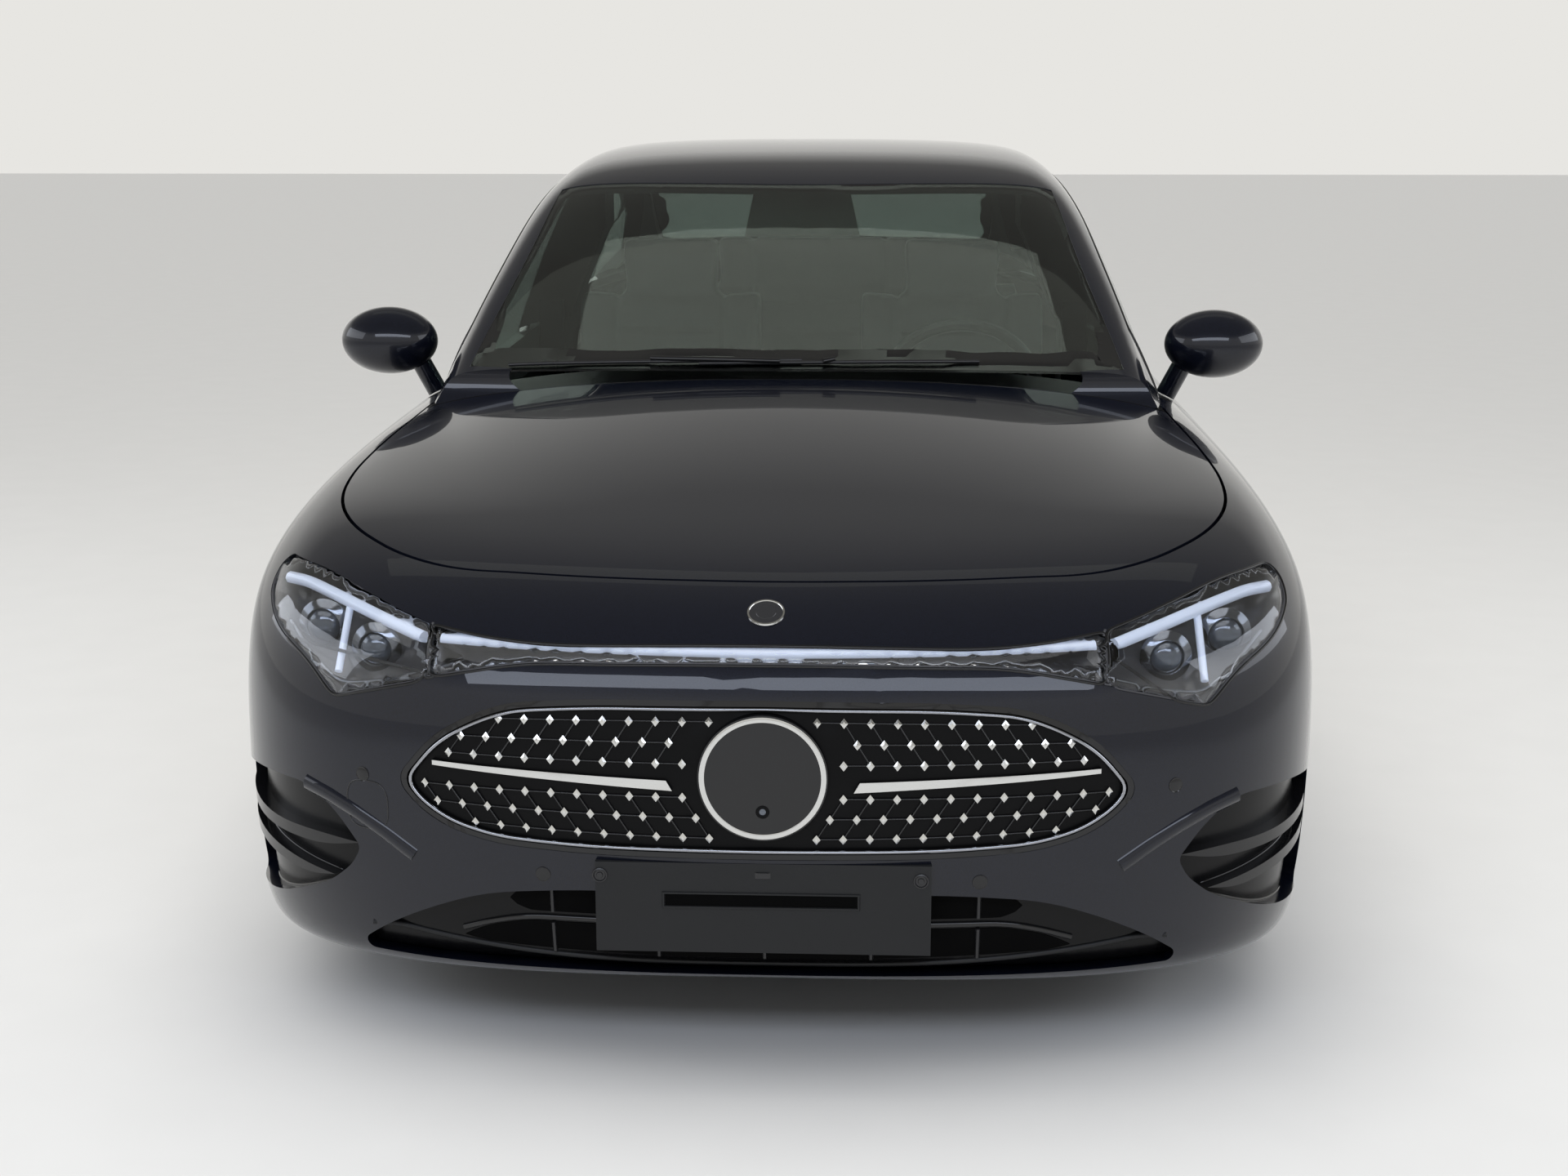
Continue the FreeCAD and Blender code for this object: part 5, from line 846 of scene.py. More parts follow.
def set_pieces(name, form, places, stuff, slot, body="body"):
    """One piece of many: a form (points, faces) at each place (point, outward axis, upward axis, stretch)."""
    small = linked(name + "_form", shape(name + "_form", *form))
    mesh = shape(name, [place[0] for place in places])
    turns, stretches = [], []
    for _, outward, upward, size in places:
        z = Vector(outward).normalized()
        x = Vector(upward).cross(z).normalized()
        turns += list(Matrix((x, z.cross(x), z)).transposed().to_euler())
        stretches += list(size)
    for label, values in (("turn", turns), ("stretch", stretches)):
        mesh.attributes.new(label, "FLOAT_VECTOR", "POINT").data.foreach_set("vector", values)
    piece = made_by(SET_ON_POINTS, SET_KEYS, (small, stuff), linked(name, mesh))
    bpy.data.objects.remove(small)
    return fit(piece, body, slot)


def stepped_form(outline, layers):
    """A small piece built up from an outline: (scale, height) layers, closed by a flat top."""
    points = [(x * scale, y * scale, height) for scale, height in layers for x, y in outline]
    count = len(outline)
    top = tuple(range(len(points) - count, len(points)))
    return points, [top] + ring_faces(count, len(layers))


def square(width, height):
    return [(-width / 2, -height / 2), (width / 2, -height / 2), (width / 2, height / 2), (-width / 2, height / 2)]


chrome = bright_metal("bright_trim", (0.68, 0.68, 0.66), roughness=0.14)
frame_chrome = bright_metal("dark_bright_trim", (0.36, 0.37, 0.40), roughness=0.16)
grille_black = moulded_plastic("grille_black", (0.0022, 0.0022, 0.0025), roughness=0.4, shine=0.12)
rib_black = gloss_black("grille_rib_black", shade=0.012, roughness=0.25)
grille = Skin(merged_copy("grille", "grille_panel"))
fitted_normals([grille])
grille.set_normals()
grille.coat(grille_black, chrome, piano_black)
coats = np.full(len(grille.corners), PANEL_COAT)
panel_faces = np.zeros(len(grille.corners), bool)
for label in np.unique(grille.labels[sheet_facing(grille, FRONT, area=0.0008)]):
    here = grille.labels == label
    spots = grille.points[grille.corners[here]].reshape(-1, 3)
    wide, _, tall = np.ptp(spots, axis=0)
    if np.abs(spots[:, 0]).max() < DISC_RADIUS + 0.003:    # the round plate
        coats[here] = FRAME_COAT
    elif wide > 1.05 and grille.areas[here].sum() < 0.1:    # the frame: as wide as the grille, but slender
        coats[here] = FRAME_COAT
        frame_line = rim_line(grille, here, spacing=0.008)
    elif tall < 0.05 and wide > 0.2:    # a bar
        coats[here] = BAR_COAT
    elif wide > 0.8:    # the panel behind the studs
        panel_faces |= here
grille.set_coats(coats)
fit(grille.piece, "body", "black_trim", "grille")

ahead = np.roll(frame_line, -1, axis=0) - np.roll(frame_line, 1, axis=0)
inwards = np.stack([-ahead[:, 2], 0 * ahead[:, 2], ahead[:, 0]], axis=1)
inwards /= np.linalg.norm(inwards, axis=1)[:, None]
inwards *= np.sign(np.einsum("ki,ki->k", inwards, frame_line.mean(axis=0) - frame_line))[:, None]
bead("grille_frame_line", frame_line + FRAME_INSET * inwards, frame_chrome, "satin_trim", radius=0.003, sides=10)

field = BVHTree.FromPolygons(grille.points.tolist(), grille.corners[panel_faces].tolist())


def on_panel(x, z, margin=0.010):
    """The panel's point there, if a stud fits inside the frame and clear of the round plate and the bars."""
    if math.hypot(x - DISC_CENTRE[0], z - DISC_CENTRE[2]) < DISC_RADIUS + DISC_CLEARANCE:
        return None
    around = [field.ray_cast(Vector((x + dx * margin, -3, z + dz * margin)), Vector(REAR))[:2]
              for dx, dz in ((1, 0), (-1, 0), (0, 1), (0, -1), (0, 0))]
    return around[-1] if all(spot is not None for spot, _ in around[:-1]) else None


rows = {}
for row in (3, 2, 1, -1, -2, -3, -4):
    for side in (-1, 1):
        rows[row, side] = line = []
        for column in range(18):
            x = FIRST_STUD + (column + 0.5 * (abs(row) % 2)) * STUD_PITCH
            sag = -math.copysign(ROW_SAG, row) * (x / 0.55) ** 2
            z = BAR_HEIGHT + math.copysign(FIRST_ROW + (abs(row) - 1) * ROW_PITCH, row) + sag * (abs(row) - 1) / 3
            found = on_panel(side * x, z)
            if found:
                line.append((column, found[0] + Vector((0, -STUD_LIFT, 0)), found[1]))
diamond = [(STUD_WIDTH / 2, 0), (0, STUD_HEIGHT / 2), (-STUD_WIDTH / 2, 0), (0, -STUD_HEIGHT / 2)]
places = [(p, towards(FRONT, n), UP, (1, 1, 1)) for line in rows.values() for _, p, n in line]
stud = stepped_form(diamond, ((1, -STUD_DEPTH), (1, 0), (0.35, STUD_DEPTH * 0.6)))
set_pieces("grille_studs", stud, places, chrome, "satin_trim")
ribs = []
for (row, side), line in rows.items():
    outer_row = {column: p for column, p, _ in rows.get((row + (1 if row > 0 else -1), side), [])}
    for k, (column, p, _) in enumerate(line):
        if k and line[k - 1][0] == column - 1:
            ribs.append((line[k - 1][1], p))
        other = outer_row.get(column if abs(row) % 2 else column - 1)
        if other is not None:
            ribs.append((p, other))


def straight_beads(name, pairs, stuff, slot, *, radius, sides=6):
    """Separate straight beads, each from one point to the other of its pair."""
    points = [Vector(p) for pair in pairs for p in pair]
    edges = [(k, k + 1) for k in range(0, len(points), 2)]
    bead(name, points, stuff, slot, radius=radius, sides=sides, edges=edges)


RIB_SINK = Vector((0, 0.002, 0))
straight_beads("grille_ribs", [(p + RIB_SINK, q + RIB_SINK) for p, q in ribs], rib_black, "black_trim", radius=0.0013)
camera_eye = (DISC_CENTRE[0], DISC_CENTRE[1], DISC_CENTRE[2] - 0.053)
for name, section, centre, stuff, slot, steps in (
        ("grille_plate_ring", [(-0.002, 0.0985), (0.0010, 0.0975), (0.0019, 0.0940), (0.0010, 0.0895),
                               (-0.002, 0.0885)], DISC_CENTRE, chrome, "satin_trim", 96),
        ("grille_plate_face", [(0.0001, 0.0888), (0.0008, 0.060), (0.0011, 0.030), (0.0012, 0.0)],
         DISC_CENTRE, piano_black, "black_trim", 64),
        ("grille_camera_rim", [(0.0005, 0.0110), (0.0019, 0.0100), (0.0019, 0.0065), (0.0008, 0.0050)],
         camera_eye, grille_black, "black_trim", 28),
        ("grille_camera_lens", [(0.0008, 0.0052), (0.0016, 0.003), (0.0018, 0.0)],
         camera_eye, projector_glass, "lens", 24)):
    turned_piece(name, section, centre, stuff, slot, steps=steps)

# Nose badge
# A blank round badge, a polished ring round a dark enamelled plate, pressed into the nose panel.
BADGE_SPOT = (0.0, -2.2455, 0.7648)
spot, outward = Bed([panels["nose_panel"]]).nearest(BADGE_SPOT)
badge_enamel = gloss_black("badge_enamel", shade=0.02, roughness=0.12)
for name, section, stuff, slot in (
        ("nose_badge_ring", [(-0.001, 0.030), (0.0016, 0.0292), (0.0018, 0.0268), (0.0008, 0.0260)], chrome,
         "satin_trim"),
        ("nose_badge_plate", [(0.0008, 0.0262), (0.0012, 0.016), (0.0018, 0.0155), (0.0019, 0.0)], badge_enamel,
         "black_trim")):
    turned_piece(name, section, spot, stuff, slot, towards(UP, outward), steps=64)

# Lower front
# Gloss-black air curtains at the corners, a black intake panel between them, and a plastic carrier for the number
# plate with its slot, clip and two screws.
CARRIER_FACE = -2.3585
SLOT_MIDDLE = 0.333


def carried_over(node, stuff, slot):
    """A smooth copy of a CAD node's skin that takes its place."""
    skin = Skin(merged_copy(node, node + "_skin"))
    fitted_normals([skin])
    skin.set_normals()
    skin.coat(stuff)
    fit(skin.piece, nodes[node]["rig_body"], slot, node)
    return skin


carrier_grey = moulded_plastic("carrier_grey", (0.010, 0.0105, 0.0115), roughness=0.45, shine=0.3)
intake_black = moulded_plastic("intake_black", (0.003, 0.003, 0.0034), roughness=0.25, shine=0.2)
# Painted shade: a near-black dull finish for the dark inside the intake openings and the plate slot, where there is
# only shade.
painted_shade_black = moulded_plastic("painted_shade_black", (0.001, 0.001, 0.0011), roughness=0.7, shine=0.05)
carrier = merged_copy("plate_carrier", "plate_carrier_panel")
for vertex in carrier.data.vertices:
    vertex.co.y = max(vertex.co.y, CARRIER_FACE)
carrier.data.materials.append(carrier_grey)
fit(carrier, "body", "dark_plastic", "plate_carrier")
intake = carried_over("lower_intake", intake_black, "black_trim")
curtains = carried_over("air_curtains", piano_black, "black_trim")
curtains.coat(intake_black)
curtains.set_coats(sheet_facing(curtains, (0.5, -0.85, 0), least=0.2, area=0.008)
                   | sheet_facing(curtains, (-0.5, -0.85, 0), least=0.2, area=0.008))
# The slot is a flat sheet of painted shade on the carrier's face, standing in for the dark behind it.
slot_edge = [(-0.152, 0.3236), (0.146, 0.3236), (0.146, 0.3420), (-0.152, 0.3420)]
new_piece("plate_slot", [(x, CARRIER_FACE - 0.0004, z) for x, z in slot_edge], [(0, 1, 2, 3)], painted_shade_black, "black_trim")
rim_points = [(x + math.copysign(grow, x), CARRIER_FACE - lift, z + math.copysign(grow, z - SLOT_MIDDLE))
              for grow, lift in ((0.0005, 0.0004), (0.0010, 0.0024), (0.0035, 0.0024), (0.0045, 0.0))
              for x, z in slot_edge]
new_piece("plate_slot_rim", rim_points, ring_faces(4, 4), carrier_grey, "dark_plastic", facing=FRONT)
screw = [(-0.001, 0.0125), (0.0018, 0.0118), (0.0028, 0.0098), (0.0008, 0.0085), (0.0008, 0.0052), (0.0024, 0.0045),
         (0.0026, 0.0)]
for number, (x, z) in enumerate(((-0.2527, 0.3718), (0.2439, 0.3694))):
    turned_piece("plate_screw_%d" % number, screw, (x, CARRIER_FACE, z), rib_black, "black_trim", steps=28)
clip_points = [(x * scale, CARRIER_FACE - lift, z + 0.3745) for scale, lift in ((1, 0.0003), (0.7, 0.0024))
               for x, z in square(0.024, 0.009)]
new_piece("plate_clip", clip_points, [(4, 5, 6, 7)] + ring_faces(4, 2), rib_black, "black_trim")

# Bumper fittings
# Four round parking sensors pressed into the painted bumper, the rounded cap over the towing eye, a sharp crease
# under each lamp and a thin rim round each air curtain.
SENSORS = ((-0.3446, 0.3635), (0.3353, 0.3617), (-0.640, 0.500), (0.640, 0.500))
TOWING_CAP, CAP_WIDTH, CAP_HEIGHT = (-0.6337, 0.4503), 0.036, 0.040
CREASE_LINE = [(0.7414, 0.4668), (0.700, 0.4560), (0.655, 0.4380), (0.605, 0.4110), (0.5523, 0.3760)]
CREASE_RADIUS, CREASE_SINK = 0.0180, 0.0140

front_bed = Bed([panels["front_bumper"]])
sensor = [(-0.001, 0.0125), (0.0012, 0.0118), (0.0006, 0.0106), (0.0010, 0.009), (0.0012, 0.0)]
for number, (x, z) in enumerate(SENSORS):
    spot, outward = front_bed.from_front(x, z)
    outward = towards(FRONT, outward)
    turned_piece("parking_sensor_%d" % number, sensor, spot, piano_black, "black_trim", outward, steps=32)
cap = []
for k in range(48):
    across, up = math.cos(2 * math.pi * k / 48), math.sin(2 * math.pi * k / 48)
    round_off = (abs(across) ** 3 + abs(up) ** 3) ** (-1 / 3)
    cap.append(front_bed.from_front(TOWING_CAP[0] + CAP_WIDTH * round_off * across,
                                    TOWING_CAP[1] + CAP_HEIGHT * round_off * up)[0])
bead("towing_cap_gap", cap, rib_black, "black_trim", radius=0.0012, sides=6)
for side, out in SIDES:
    path = evened([(x, z, 0) for x, z in CREASE_LINE], 0.008, closed=False)[:, :2]
    hits = [front_bed.from_front(out * x, z)[0] for x, z in path]
    line = [spot + Vector((0, CREASE_SINK, 0)) for spot in hits if spot is not None]
    bead("bumper_crease_" + side, smoothed(line, 4, closed=False), paint, "paint", radius=CREASE_RADIUS, closed=False,
         sides=40)
    mouth = sheet_facing(curtains, (0.5 * out, -0.85, 0), least=0.2, area=0.002)
    mouth &= curtains.middles()[:, 0] * out > 0
    bead("curtain_rim_" + side, rim_line(curtains, mouth, spacing=0.01), piano_black, "black_trim", radius=0.003)

# Intake
# Two openings one above the other, their dark insides painted as shade on sheets laid over the intake panel, parted by
# a curved blade, with upright vanes across them, over a satin lip along the foot of the bumper.
VANE_PITCH = 0.168
BLADE_REACH = 0.485
LIP_REACH = 0.640
FRONT_ONLY = -2.1
intake_bed = Bed([intake])


def blade_height(x):
    return 0.278 - 0.030 * max(0.0, (abs(x) - 0.36) / 0.12) ** 1.6


def lip_height(x):
    return 0.1985 + 0.044 * (abs(x) / LIP_REACH) ** 2.2


def opening_top(x):
    return 0.346 - 0.018 * (abs(x) / 0.4) ** 2.5


def grid_faces(columns, rises):
    """Four-sided faces between the points of a grid, listed column by column."""
    return [(i * (rises + 1) + j, (i + 1) * (rises + 1) + j, (i + 1) * (rises + 1) + j + 1, i * (rises + 1) + j + 1)
            for i in range(columns) for j in range(rises)]


def opening_patch(name, half_width, low, high, columns=72, rises=4):
    """A sheet of painted shade laid on the intake panel between two lines, for the dark inside of an opening."""
    points = []
    for i in range(columns + 1):
        x = -half_width + 2 * half_width * i / columns
        tip = min(1.0, max(0.0, half_width - abs(x)) / 0.035) ** 0.5
        bottom, top = low(x), high(x)
        middle = (bottom + top) / 2
        for j in range(rises + 1):
            z = middle + (bottom - middle + (top - bottom) * j / rises) * max(tip, 0.02)
            spot, _ = intake_bed.from_front(x, z)
            if spot is None or spot.y > FRONT_ONLY:
                spot = Vector((x, points[-1][1] if points else -2.27, z))
            points.append((spot.x, spot.y - 0.0010, spot.z))
    new_piece(name, points, grid_faces(columns, rises), painted_shade_black, "black_trim", smooth=True, facing=FRONT)


opening_patch("upper_intake_opening", 0.405, lambda x: 0.288, opening_top)
opening_patch("lower_intake_opening", BLADE_REACH, lambda x: 0.214 + 0.012 * (x / BLADE_REACH) ** 2,
              lambda x: blade_height(x) - 0.008)
vane = ([(x * scale, y, height) for scale, height in ((1, 0), (0.5, 0.004)) for x, y in square(0.008, 1)],
        [(4, 5, 6, 7)] + ring_faces(4, 2))
places = []
for x in (VANE_PITCH * k for k in range(-2, 3)):
    for bottom, top in ((0.216, blade_height(x) - 0.008), (0.289, opening_top(x) - 0.002)):
        low, high = (intake_bed.from_front(x, z)[0] for z in (bottom, top))
        if low is None or high is None or high.y > FRONT_ONLY:
            continue
        rise = (high - low).normalized()
        ahead = towards(FRONT, Vector((1, 0, 0)).cross(rise))
        places.append(((low + high) / 2 + ahead * 0.001, ahead, rise, (1, (high - low).length, 1)))
set_pieces("intake_vanes", vane, places, rib_black, "black_trim")
lip_bed = Bed([intake, panels["front_bumper"]])
for name, reach, height, radius, stuff in (("intake_blade", BLADE_REACH, blade_height, 0.0055, piano_black),
                                           ("splitter_lip", LIP_REACH, lip_height, 0.0050, carrier_grey)):
    hits = [lip_bed.from_front(x, height(x))[0] for x in np.linspace(-reach, reach, 90)]
    line = [spot + Vector((0, 0.0005, 0)) for spot in hits if spot is not None and spot.y < FRONT_ONLY]
    bead(name, smoothed(line, 4, closed=False), stuff, "black_trim", radius=radius, closed=False)

# Windscreen fittings
# Two flat wiper blades on black arms, parked at the foot of the screen, and the camera housing bonded behind the
# glass.
SCREEN_FOOT = -1.092
BLADE_LIFT, ARM_LIFT, HOUSING_SINK = 0.006, 0.013, 0.0075
screen_bed = Bed([panes["windscreen"]])


def on_screen(x, y, lift):
    spot, outward = screen_bed.cast((x, y, 2.5), DOWN)
    return spot + towards(UP, outward) * lift


for side, start, end, arm in (("right", 0.015, -0.60, -0.03), ("left", 0.385, -0.20, 0.06)):
    across = np.linspace(start, end, 36)
    middle = across[len(across) // 2]
    blade = [on_screen(x, SCREEN_FOOT + 0.020 - 0.012 * k / 35, BLADE_LIFT) for k, x in enumerate(across)]
    bead("wiper_blade_" + side, blade, rib_black, "rubber", radius=0.0045, closed=False, sides=6)
    arm_line = [on_screen(arm + (middle - arm) * t, SCREEN_FOOT + 0.008 + 0.008 * t, ARM_LIFT)
                for t in np.linspace(0, 1, 18)]
    bead("wiper_arm_" + side, arm_line, piano_black, "black_trim", radius=0.0055, closed=False)
HOUSING_TOP, HOUSING_FOOT = (-0.119, 0.105, -0.425), (-0.131, 0.132, -0.634)
points = []
for u in np.linspace(0, 1, 11):
    for v in np.linspace(0, 1, 11):
        left, right, y = (top + v * (foot - top) for top, foot in zip(HOUSING_TOP, HOUSING_FOOT))
        points.append(on_screen(left + u * (right - left), y, -HOUSING_SINK))
new_piece("screen_camera_housing", points, grid_faces(10, 10), border_black, "black_trim")

# Door mirrors
# Painted shells, with a slightly blue mirror glass held in the back of each.
mirror_glass = bright_metal("mirror_glass", (0.78, 0.83, 0.88), roughness=0.02)
for side, _ in SIDES:
    skin = panels["mirror_" + side]
    skin.coat(mirror_glass)
    skin.set_coats(2 * sheet_facing(skin, REAR, least=0.7, area=0.003))

# Wheels
# Cast alloy wheels: dark painted spokes and rim with machined outer faces, five bolts and a blank centre cap. The
# steel brake disc shows between the spokes.
AXLES = (("front_", -1.4915), ("rear_", 1.2985))
WHEELS = [(end + side, out, y0) for end, y0 in AXLES for side, out in SIDES]
AXLE_HEIGHT = 0.33
BOLT_CIRCLE = 0.056
BOLT_SIZE = 0.0105
DISC_REACH, DISC_DEPTH = 0.172, 0.815
SPOKE_FACE = 0.85


def cast_alloy(name, colour, roughness):
    """Cast metal under a thin lacquer, its shade and gloss drifting with the grain of the casting."""
    stuff, tree, shader = new_finish(name, {"Metallic": 0.75, "Coat Weight": 0.5})
    set_surface(tree, shader, clouds(tree, 220.0), colour, drift=0.12, roughness=roughness, gloss_drift=0.2)
    return stuff


dark_alloy = cast_alloy("dark_alloy", (0.045, 0.047, 0.052), roughness=0.32)
machined = cast_alloy("machined_alloy", (0.50, 0.51, 0.53), roughness=0.24)
disc_steel = bright_metal("disc_steel", (0.42, 0.42, 0.43), roughness=0.3)
hexagon = [(BOLT_SIZE * math.cos(math.radians(60 * k)), BOLT_SIZE * math.sin(math.radians(60 * k))) for k in range(6)]
bolt = stepped_form(hexagon, ((1, -0.004), (1, 0.007), (0.7, 0.009)))
crown = [(-0.002, 0.036), (0.003, 0.0355), (0.0045, 0.033), (0.0040, 0.031), (0.0055, 0.020), (0.006, 0.0)]
for corner, out, y0 in WHEELS:
    node = "wheel_" + corner
    body = nodes[node]["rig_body"]
    skin = carried_over(node, dark_alloy, "alloy")
    skin.coat(machined, disc_steel)
    middles = skin.middles()
    radius = np.hypot(middles[:, 1] - y0, middles[:, 2] - AXLE_HEIGHT)
    depth = middles[:, 0] * out
    coats = np.zeros(len(skin.corners), int)
    coats[(skin.face_normals[:, 0] * out > 0.93) & (depth > SPOKE_FACE)] = 1
    coats[(radius < DISC_REACH) & (depth < DISC_DEPTH)] = 2
    skin.set_coats(coats)
    bed = Bed([skin])
    places = []
    for k in range(5):
        angle = math.radians(90 + 72 * k)
        y, z = y0 + BOLT_CIRCLE * math.cos(angle), AXLE_HEIGHT + BOLT_CIRCLE * math.sin(angle)
        spot, _ = bed.cast((2.0 * out, y, z), (-out, 0, 0))
        places.append((spot, (out, 0, 0), UP, (1, 1, 1)))
    set_pieces("wheel_bolts_" + corner, bolt, places, disc_steel, "steel", body)
    spot, _ = bed.cast((2.0 * out, y0 + 0.001, AXLE_HEIGHT + 0.001), (-out, 0, 0))
    turned_piece("wheel_cap_" + corner, crown, (spot.x, y0, AXLE_HEIGHT), dark_alloy, "alloy", (out, 0, 0), body,
                 steps=48)

# Tyres
# Low-profile radial tyres: a turned carcass with ribbed walls, and five rows of slanting tread blocks between the
# grooves.
TREAD_RADIUS = 0.330
GROOVE_DEPTH = 0.007
BLOCKS_ROUND = 68
BLOCK_LENGTH = 2 * math.pi * TREAD_RADIUS / BLOCKS_ROUND * 0.84
BLOCK_SINK = 0.0006
ROWS = [(-0.078, 0.026, -0.25), (-0.040, 0.030, -0.25), (0.0, 0.032, 0), (0.040, 0.030, 0.25), (0.078, 0.026, 0.25)]
# Radius and half width of the wall, from the bead to the shoulder
WALL = [(0.235, 0.098), (0.240, 0.104), (0.247, 0.105), (0.262, 0.1105), (0.264, 0.1120), (0.280, 0.1122),
        (0.282, 0.1110), (0.300, 0.1085), (0.302, 0.1100), (0.310, 0.1080), (0.3175, 0.1010),
        (TREAD_RADIUS - GROOVE_DEPTH, 0.093)]

rubber, tree, shader = new_finish("tyre_rubber", {"Specular IOR Level": 0.35})
dust = clouds(tree, 26.0, Detail=5.0)
grain = add_node(tree, "ShaderNodeBump", {"Strength": 0.2, "Distance": 0.0003, "Height": clouds(tree, 900.0)})
fill(tree, shader, {"Base Color": two_shades(tree, dust, (0.010, 0.010, 0.011), (0.021, 0.021, 0.021)),
                    "Roughness": between(tree, dust, 0.55, 0.8), "Normal": grain.outputs["Normal"]})
block = stepped_form(square(1, 1), ((1, 0), (0.93, 0.85), (0.86, 1)))
section = [(-half, radius) for radius, half in WALL] + [(half, radius) for radius, half in reversed(WALL)]
section += [(0.098, 0.2285), (-0.098, 0.2285), (-0.098, 0.235)]
for corner, out, y0 in WHEELS:
    node = "tyre_" + corner
    body = nodes[node]["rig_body"]
    low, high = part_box(node)
    x0 = (low[0] + high[0]) / 2
    carcass = turned_piece("tyre_carcass_" + corner, section, (x0, y0, AXLE_HEIGHT), rubber, "rubber", (1, 0, 0), body,
                           steps=144)
    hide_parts(node)
    places = []
    for row, (x, width, lean) in enumerate(ROWS):
        for k in range(BLOCKS_ROUND):
            angle = 2 * math.pi * (k + 0.5 * (row % 2)) / BLOCKS_ROUND
            outward = Vector((0, math.cos(angle), math.sin(angle)))
            slant = Vector((lean, -math.sin(angle), math.cos(angle))).normalized()
            spot = Vector((x0 + x, y0, AXLE_HEIGHT)) + outward * (TREAD_RADIUS - GROOVE_DEPTH - BLOCK_SINK)
            places.append((spot, outward, slant, (width, BLOCK_LENGTH, GROOVE_DEPTH)))
    set_pieces("tyre_tread_" + corner, block, places, rubber, "rubber", body)

# Dashboard and steering wheel
# A soft dashboard skin over foam with a stitched seam, two dark glass displays, and a steering wheel bound in leather.
STITCHES = 74


def leather(name, colour, roughness=0.42):
    """Finished hide: a fine cell grain with slow changes of shade."""
    stuff, tree, shader = new_finish(name, {"Sheen Weight": 0.15})
    coords = add_node(tree, "ShaderNodeTexCoord").outputs["Object"]
    cells = add_node(tree, "ShaderNodeTexVoronoi", {"Vector": coords, "Scale": 420.0}, feature="DISTANCE_TO_EDGE")
    set_surface(tree, shader, clouds(tree, 9.0, Detail=4.0), colour, drift=0.18, roughness=roughness, gloss_drift=0.15,
                relief=cells.outputs["Distance"], strength=0.35, depth=0.0005, ends=(0.3, 0.7))
    return stuff


def dress(node, stuff):
    """Gives a CAD node that stays its finish."""
    for holder in bpy.data.objects[node].material_slots:
        holder.material = stuff


def rounded_plate(name, corner, width, height, thickness, rounding, lean, stuff, steps=8):
    """An upright plate with rounded corners that faces the rear, from its lower right corner (x, y, z)."""
    x0, y0, z0 = corner
    half_width, half_height = width / 2, height / 2
    rim = []
    for across, up, turn in ((1, 1, 0), (-1, 1, 90), (-1, -1, 180), (1, -1, 270)):
        for k in range(steps + 1):
            angle = math.radians(turn + 90 * k / steps)
            rim.append((across * (half_width - rounding) + rounding * math.cos(angle),
                        up * (half_height - rounding) + rounding * math.sin(angle)))
    points = [(x0 + half_width + x * grow, y0 + depth - lean * (z + half_height), z0 + half_height + z * grow)
              for depth, grow in ((0.0, 1.0), (thickness * 0.75, 1.0), (thickness, 0.985)) for x, z in rim]
    count = len(rim)
    faces = [tuple(range(count)), tuple(range(2 * count, 3 * count))] + ring_faces(count, 3)
    piece = new_piece(name, points, faces, stuff, "black_trim")

    def face_out(work):
        bmesh.ops.recalc_face_normals(work, faces=work.faces)
        bmesh.ops.triangulate(work, faces=work.faces)

    with_bmesh(piece.data, face_out)


def seam_point(x):
    """A point of the seam across the dashboard."""
    return x, -0.802 - 0.05 * (x / 0.6) ** 2, 0.9305 - 0.006 * (x / 0.6) ** 2


dress("dashboard", leather("dashboard_skin", (0.016, 0.016, 0.017), roughness=0.5))
dress("steering_wheel", leather("steering_wheel_leather", (0.020, 0.020, 0.021), roughness=0.38))
display_glass = gloss_black("display_glass", shade=0.008, roughness=0.06)
rounded_plate("wide_display", (-0.60, -0.672, 0.762), width=0.74, height=0.13, thickness=0.012, rounding=0.018,
              lean=0.10, stuff=display_glass)
rounded_plate("driver_display", (0.215, -0.548, 0.868), width=0.31, height=0.078, thickness=0.010, rounding=0.014,
              lean=0.10, stuff=display_glass)
seam = [seam_point(x) for x in np.linspace(-0.6, 0.6, 2 * STITCHES + 2)]
stitch_thread = leather("stitch_thread", (0.10, 0.10, 0.10), roughness=0.6)
straight_beads("dashboard_stitches", [(seam[k], seam[k + 1]) for k in range(0, 2 * STITCHES, 2)], stitch_thread,
               "cabin_trim", radius=0.0009, sides=5)

# Cabin lining
# Dark grained trim clipped to the inner sheets of the doors, side frames and rear deck, and a soft headliner glued
# under the roof.
cabin_trim = leather("cabin_trim_skin", (0.018, 0.018, 0.019), roughness=0.55)
headliner = leather("headliner_cloth", (0.05, 0.05, 0.048), roughness=0.85)
FRAME_TOP = 1.43


def lined(skin, direction, stuff, least=0.5, area=0.01, test=None):
    """Gives the inner sheets of a painted panel the finish of the lining."""
    inner = sheet_facing(skin, direction, least, area)
    if test is not None:
        inner &= test(skin.middles())
    skin.coat(stuff)
    coats = read(skin.piece.data.polygons, "material_index", 1, int)[:, 0]
    coats[inner] = len(skin.piece.data.materials) - 1
    skin.set_coats(coats)


for door, _, out in DOORS:
    lined(panels["door_" + door], (-out, 0, 0), cabin_trim)
for side, out in SIDES:
    lined(panels["side_frame_" + side], (-out, 0, 0), cabin_trim, least=0.45, test=lambda m: m[:, 2] < FRAME_TOP)
lined(panels["roof_panel"], DOWN, headliner, area=0.05)
lined(panels["rear_deck"], DOWN, cabin_trim, area=0.05)

# Seats
# Foam cushions and backs bound in dark leather with sewn channels, padded tight. The front seats hold their headrests
# in one with the back.
MOST_SWELL = 0.012
SEAM_DEPTH = 0.0075
SEAM_WIDTH = 0.008
CHANNEL_PITCH = 0.085
CUSHION_TOP = 0.62
HEADREST_FOOT = 0.98
SEAT_HALF_WIDTH = 0.3
